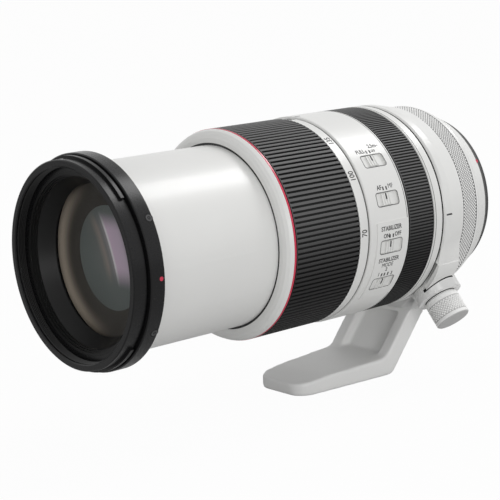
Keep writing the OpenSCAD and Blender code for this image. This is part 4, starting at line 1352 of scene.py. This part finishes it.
@dataclass
class ZoomScale:
    """Focal length numerals on the zoom ring."""

    height: float = 2.75
    stretch: float = 0.8
    step: float = 0.3
    back: float = 2.85
    marks: tuple[tuple[str, float], ...] = (("70", -0.6), ("100", 31.0), ("135", 55.5), ("200", 88.5))

    def build(self) -> None:
        """Builds the numerals."""
        grip = Span.of("zoom_rubber")
        rho, station = grip.radius - self.step, grip.first - self.back
        bm = bmesh.new()
        for text, angle in self.marks:
            lettering(bm, text, self.height, rho, angle, station, Reading.AROUND, self.stretch)
        add_piece("zoom_numerals", bm, "zoom_ring", Finishes.PRINT)


@dataclass
class FrontEnd:
    """Filter thread, glass, marks and screws of the front ring."""

    body: str = "front_barrel"
    lip: float = 4.6
    thread: Pair = (4.7, 0.5)
    pitch: float = 0.7
    thread_seat: float = 0.15
    thread_sharp: float = 20.0
    thread_tooth: tuple[Pair, ...] = ((0.02, 0.1), (0.36, 0.5), (0.02, 0.9))
    ridges: int = 3
    ridge_back: float = 5.8
    ridge_in: float = 1.15
    ridge_step: Pair = (0.5, 1.0)
    ridge_size: Pair = (0.2, 0.04)
    mark_back: float = 11.3
    mark_angle: float = -1.5
    mark_radius: float = 0.85
    screw_angles: Pair = (29.3, -31.8)
    seat_radius: float = 1.75
    seat_height: float = 0.02
    head_radius: float = 1.35
    socket_radius: float = 0.7
    pin_radius: float = 0.3
    head_height: float = 0.06
    glass_rise: float = 4.0
    shell: float = 1.2
    shell_steps: int = 12
    inner_glass_r: float = 21.0
    inner_glass_back: float = 8.5
    inner_glass_bulge: float = 1.4
    inner_glass_steps: int = 8
    wall: float = 1.5
    wall_clear: Pair = (0.3, 0.1)

    def build(self) -> None:
        """Builds the thread, the ridges of the baffle, the glass, the red mark and the screws."""
        ring = Span.of("front_ring")
        bore = ring.radius - self.lip
        self._thread(bore, *(ring.last - back for back in self.thread))
        bm = bmesh.new()
        out, ahead = self.ridge_size
        for i in range(self.ridges):
            rho = bore - self.ridge_in - self.ridge_step[0] * i
            s = ring.last - self.ridge_back - self.ridge_step[1] * i
            top, bottom, front, back = rho + out, rho - ahead, s + ahead, s - out
            lathe(bm, [(top, back), (top, front), (bottom, front), (bottom, back)])
        # Painted highlight: the ridges are paler than the black baffle behind them.
        add_piece("baffle_ridges", bm, self.body, Finishes.RIDGE)
        self._glass()
        station = ring.last - self.mark_back
        dot, seats, heads = bmesh.new(), bmesh.new(), bmesh.new()
        disc(dot, ring.radius, self.mark_angle, station, self.mark_radius)
        for angle in self.screw_angles:
            spot = ring.radius, angle, station
            disc(seats, *spot, self.seat_radius, self.seat_height)
            disc(heads, *spot, self.head_radius, self.head_height, self.socket_radius)
            disc(heads, *spot, self.pin_radius, self.head_height)
        add_piece("hood_mark", dot, self.body, Finishes.RED)
        add_piece("front_screw_seats", seats, self.body, Finishes.BLACK_MATTE)
        add_piece("front_screw_heads", heads, self.body, Finishes.SCREW)

    def _thread(self, bore: float, first: float, last: float) -> None:
        """Builds the ridges of the filter thread.

        Args:
            bore: radius of the thread.
            first: first station.
            last: last station.
        """
        count = int((last - first) / self.pitch)
        profile = [(bore + self.thread_seat, first)]
        for i in range(count):
            profile += [(bore - inset, first + (i + along) * self.pitch) for inset, along in self.thread_tooth]
        profile.append((bore + self.thread_seat, first + count * self.pitch))
        bm = bmesh.new()
        lathe(bm, profile)
        add_piece("filter_thread_ridges", bm, self.body, Finishes.THREAD, sharp=self.thread_sharp)

    def _glass(self) -> None:
        """Builds the front element as a clear shell with the coated inner element and the cell wall behind it."""
        lens = Span.of("front_lens")
        edge, glass_rim = lens.radius, lens.last - self.glass_rise
        ball = (edge ** 2 + self.glass_rise ** 2) / (2 * self.glass_rise)

        def dome(rho: float, back: float) -> Pair:
            """Point of the front surface at a radius, moved back by a distance."""
            return rho, glass_rim + math.sqrt(ball ** 2 - rho ** 2) - (ball - self.glass_rise) - back

        radii = spaced(0, edge, self.shell_steps)
        shell, wall, element = bmesh.new(), bmesh.new(), bmesh.new()
        lathe(shell, [dome(r, 0.0) for r in radii] + [dome(r, self.shell) for r in reversed(radii)])
        add_piece("front_glass", shell, self.body, Finishes.FRONT_GLASS, "front_lens")
        inner, depth, bulge = self.inner_glass_r, lens.last - self.inner_glass_back, self.inner_glass_bulge
        outer, rim = edge - self.wall_clear[0], glass_rim - self.shell - self.wall_clear[1]
        lathe(wall, [(inner, depth - self.wall), (inner, depth), (outer, rim), (outer, rim - self.wall)])
        add_piece("front_cell_wall", wall, self.body, Finishes.DEPTHS)
        curve = [(r, depth + bulge * (1 - (r / inner) ** 2)) for r in spaced(0, inner, self.inner_glass_steps)]
        lathe(element, curve + [(inner, depth - bulge), (0, depth - bulge)])
        add_piece("inner_glass", element, self.body, Finishes.INNER_GLASS)


@dataclass
class Marks:
    """Index line on the collar and red dot on the rear cover."""

    collar_radius: float = 45.0
    collar_angles: Pair = (-0.45, 0.45)
    collar_stations: Pair = (34.6, 38.0)
    collar_height: float = 0.03
    dot_place: Place = (38.0, 28.7, 4.9)
    dot_radius: float = 0.8
    dot_height: float = 0.16

    def build(self) -> None:
        """Builds the marks."""
        line, dot = bmesh.new(), bmesh.new()
        patch(line, self.collar_radius, self.collar_angles, self.collar_stations, self.collar_height)
        add_piece("collar_index", line, "collar_strap", Finishes.PRINT)
        disc(dot, *self.dot_place, self.dot_radius, self.dot_height)
        add_piece("mount_mark", dot, "barrel", Finishes.RED)


@dataclass
class Seams:
    """Dark sheets of painted shade in the gaps between rings and in the lines beside the grips, and the rubber lip at
    the mount.
    """

    collar_gap: Pair = (6.03, 5.57)
    collar_gap_wall: Pair = (0.1, 1.6)
    band_gap: Pair = (0.03, 0.22)
    band_gap_wall: Pair = (0.4, 1.0)
    line: float = 0.36
    line_wall: Pair = (-0.015, 0.1)
    trim_line: float = 1.25
    panel_line: float = 1.1
    pad_edge: Pair = (-43.9, -43.1)
    pad_ends: Pair = (1.6, 4.0)
    pad_height: float = 0.03
    lip_stations: Pair = (2.22, 4.6)
    lip_corner: float = 0.78
    lip_slope: float = 0.465
    lip_grow: Pair = (0.1, 0.9)
    lip_wall: Pair = (0.06, 0.3)

    def build(self) -> None:
        """Builds the rings of painted shade, the shade under the lower edge of the raised pad and the lip."""
        panel, grip, focus = Span.of("switch_panel"), Span.of("zoom_rubber"), Span.of("focus_rubber")
        trim, edge, half = focus.first - self.trim_line, panel.first + self.panel_line, self.line / 2
        # Each ring is a dark sheet in a gap or seam: painted shade.
        for name, radius, (sunk, wall), first, last, finish in (
            ("collar_gap", panel.radius, self.collar_gap_wall,
             focus.first - self.collar_gap[0], focus.first - self.collar_gap[1], Finishes.GAP),
            ("band_gap", grip.radius, self.band_gap_wall,
             panel.last + self.band_gap[0], panel.last + self.band_gap[1], Finishes.SHADE_LINE),
            ("trim_line", panel.radius, self.line_wall, trim - half, trim + half, Finishes.SHADE_LINE),
            ("panel_line", panel.radius, self.line_wall, edge - half, edge + half, Finishes.SHADE_LINE),
        ):
            top, bore = radius - sunk, radius - sunk - wall
            bm = bmesh.new()
            lathe(bm, [(bore, first), (top, first), (top, last), (bore, last)])
            add_piece(name, bm, "barrel", finish)
        shade = bmesh.new()
        ends = panel.first + self.pad_ends[0], panel.last - self.pad_ends[1]
        patch(shade, panel.radius, self.pad_edge, ends, self.pad_height)
        add_piece("pad_shade", shade, "barrel", Finishes.SHADE_LINE)
        self._lip()

    def _lip(self) -> None:
        """Builds the thin rubber lip round the rear edge of the cover."""
        first, last = self.lip_stations
        corner = first + self.lip_corner
        low, mid = (Span.of("mount_gasket").radius + grow for grow in self.lip_grow)
        cover = [(low, first), (mid, corner), (mid + (last - corner) * self.lip_slope, last)]
        skin, sunk = self.lip_wall
        bm = bmesh.new()
        lathe(bm, [(rho + skin, s) for rho, s in cover] + [(rho - sunk, s) for rho, s in reversed(cover)])
        add_piece("mount_lip", bm, "barrel", Finishes.RUBBER)


# Stage


@dataclass
class Studio:
    """Camera, lamps, floor and white surround. Lengths are in metres."""

    camera_place: Place = (0.487249, -0.52364, 0.117229)
    azimuth: float = 49.77
    elevation: float = 11.15
    roll: float = -2.79
    clip: Pair = (0.01, 20.0)
    sensor_mm: float = 36.0
    focal_mm: float = 110.95
    floor_height: float = -0.0742
    floor_size: float = 6.0
    floor_grey: float = 0.6
    floor_white: float = 0.97
    floor_mirrored: float = 0.2
    ambient: float = 0.55
    aim: Place = (0.0, -0.1, 0.0)
    lamps: tuple[tuple[str, Place, float, float], ...] = (
        ("key", (0.1, 0.8, 1.1), 0.5, 6.5),
        ("fill", (1.2, -0.5, 0.12), 0.6, 5.0),
    )

    def build(self) -> None:
        """Builds the whole stage."""
        scene = bpy.context.scene
        scene.view_settings.view_transform = "Standard"
        self._camera(scene)
        self._world(scene)
        self._floor()
        for lamp in self.lamps:
            self._lamp(*lamp)

    def _camera(self, scene: bpy.types.Scene) -> None:
        """Adds the camera at the photograph's place and angle.

        Args:
            scene: the scene it films.
        """
        data = bpy.data.cameras.new("camera")
        data.sensor_width = self.sensor_mm
        data.lens = self.focal_mm
        data.clip_start, data.clip_end = self.clip
        camera = bpy.data.objects.new("camera", data)
        scene.collection.objects.link(camera)
        (cos_a, sin_a), (cos_e, sin_e) = compass(self.azimuth), compass(self.elevation)
        back = Vector((sin_a * cos_e, -cos_a * cos_e, sin_e))
        camera.rotation_mode = "QUATERNION"
        camera.rotation_quaternion = Quaternion(back, math.radians(self.roll)) @ (-back).to_track_quat("-Z", "Y")
        camera.location = self.camera_place
        scene.camera = camera

    @staticmethod
    def _seen(net: Net, mirrored: float = 1.0) -> Wire:
        """Share of the white surround that a ray sees.

        Args:
            net: the nodes of the world or the floor.
            mirrored: share that rays from mirrors see.

        Returns:
            1 on rays from the camera and through glass, the given share on rays from mirrors, else 0.
        """
        camera, glossy, through = (
            net.node("ShaderNodeLightPath", out=f"Is {kind} Ray") for kind in ("Camera", "Glossy", "Transmission")
        )
        return camera.larger(glossy * mirrored).larger(through)

    def _world(self, scene: bpy.types.Scene) -> None:
        """Makes the surround white to the eye and a softer grey to matt surfaces.

        Args:
            scene: the scene it surrounds.
        """
        scene.world = bpy.data.worlds.new("surround")
        scene.world.use_nodes = True
        net = Net(scene.world.node_tree)
        strength = self._seen(net) * (1 - self.ambient) + self.ambient
        light = net.node("ShaderNodeBackground", None, {"Color": (*grey(1.0), 1.0), "Strength": strength})
        net.node("ShaderNodeOutputWorld", None, {"Surface": light})

    def _floor(self) -> None:
        """Adds a pale floor that keeps a faint shadow."""
        bm = bmesh.new()
        bmesh.ops.create_grid(bm, x_segments=4, y_segments=4, size=self.floor_size)
        bmesh.ops.translate(bm, verts=bm.verts, vec=(0, 0, self.floor_height))
        floor = finished("floor", bm)
        material = bpy.data.materials.new("pale_floor")
        material.use_nodes = True
        net = Net(material.node_tree)
        matt = net.node("ShaderNodeBsdfDiffuse", None, {"Color": (*grey(self.floor_grey), 1.0)})
        white = net.node("ShaderNodeEmission", None, {"Color": (*grey(1.0), 1.0), "Strength": 1.0})
        share = self._seen(net, self.floor_mirrored) * self.floor_white
        surface = net.node("ShaderNodeMixShader", None, [share, matt, white])
        net.node("ShaderNodeOutputMaterial", None, {"Surface": surface})
        floor.data.materials.append(material)

    def _lamp(self, name: str, place: Place, size: float, power: float) -> None:
        """Adds a large soft lamp that points at the lens.

        Args:
            name: name of the lamp.
            place: where it stands.
            size: side of the lamp.
            power: power in watts.
        """
        data = bpy.data.lights.new(name, "AREA")
        data.size = size
        data.energy = power
        lamp = bpy.data.objects.new(name, data)
        bpy.context.scene.collection.objects.link(lamp)
        lamp.location = place
        lamp.rotation_mode = "QUATERNION"
        lamp.rotation_quaternion = (Vector(self.aim) - Vector(place)).to_track_quat("-Z", "Y")


class CadFinishes:
    """Finishes of the CAD nodes."""

    BY_FINISH: dict[Finish, tuple[str, ...]] = {
        Finishes.WHITE: (
            "rear_cover", "main_barrel", "switch_panel", "front_cap", "zoom_ring", "inner_barrel", "collar_strap",
        ),
        Finishes.WHITE_CAST_LIT: ("collar_base",),
        Finishes.WHITE_MOULDED: ("focus_switch", "limit_switch", "steady_switch", "mode_switch"),
        Finishes.KNURLED: ("control_ring",),
        Finishes.KNOB: ("clamp_knob",),
        Finishes.ZOOM_RUBBER: ("zoom_rubber",),
        Finishes.FOCUS_RUBBER: ("focus_rubber",),
        Finishes.BLACK: ("front_ring",),
        Finishes.BAFFLE: ("front_retainer",),
        Finishes.BLACK_MATTE: (
            "front_cell", "rear_cell", "focus_ring", "zoom_carriage", "focus_carriage_a", "focus_carriage_b",
            "steady_cell",
        ),
        Finishes.BLACK_MOULDED: ("contact_block", "barrel_seal"),
        Finishes.RUBBER: ("mount_gasket",),
        Finishes.RED: ("red_ring",),
        Finishes.STEEL: ("mount_ring", "tripod_bush", "hinge_pin", "clamp_shaft", "focus_rods"),
        Finishes.SCREW_STEEL: ("mount_screws",),
        Finishes.ALLOY: ("guide_tube", "cam_sleeve", "focus_frame", "focus_motors", "iris_ring", "steady_frame"),
        Finishes.GOLD: ("contact_pins",),
        Finishes.BRASS: ("barrel_followers", "zoom_followers"),
        Finishes.GLASS: ("rear_lens", "focus_lens_a", "focus_lens_b", "zoom_lens", "steady_lens"),
        Finishes.FRONT_GLASS: ("front_lens",),
        Finishes.BOARD: ("main_board",),
        Finishes.IRIS: tuple(f"iris_blade_{i}" for i in range(1, 10)),
    }

    @classmethod
    def dress(cls, nodes: dict[str, bpy.types.Object]) -> None:
        """Gives every CAD node its finish.

        Args:
            nodes: the frame's nodes by name.
        """
        for finish, names in cls.BY_FINISH.items():
            for name in names:
                materials = nodes[name].data.materials
                materials.clear()
                materials.append(finish.material())


def main() -> None:
    """Builds every sub-assembly in order."""
    logging.basicConfig(level=logging.INFO, format="%(name)s: %(message)s")
    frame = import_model()
    CadFinishes.dress(frame["nodes"])
    array = RingArray()
    Grip("zoom_rubber", "zoom_ring", Finishes.ZOOM_RUBBER, ribs=134, rib_height=0.75).build(array)
    Grip("focus_rubber", "focus_ring", Finishes.FOCUS_RUBBER, ribs=204, rib_height=0.5, crest_share=0.5).build(array)
    ControlRing().build(array)
    ClampKnob().build(array)
    StrapLip().build()
    CastFoot().build(frame["nodes"]["collar_base"])
    for assembly in (SwitchPanel, ZoomScale, FrontEnd, Marks, Seams, Studio):
        assembly().build()


if __name__ == "__main__":
    main()
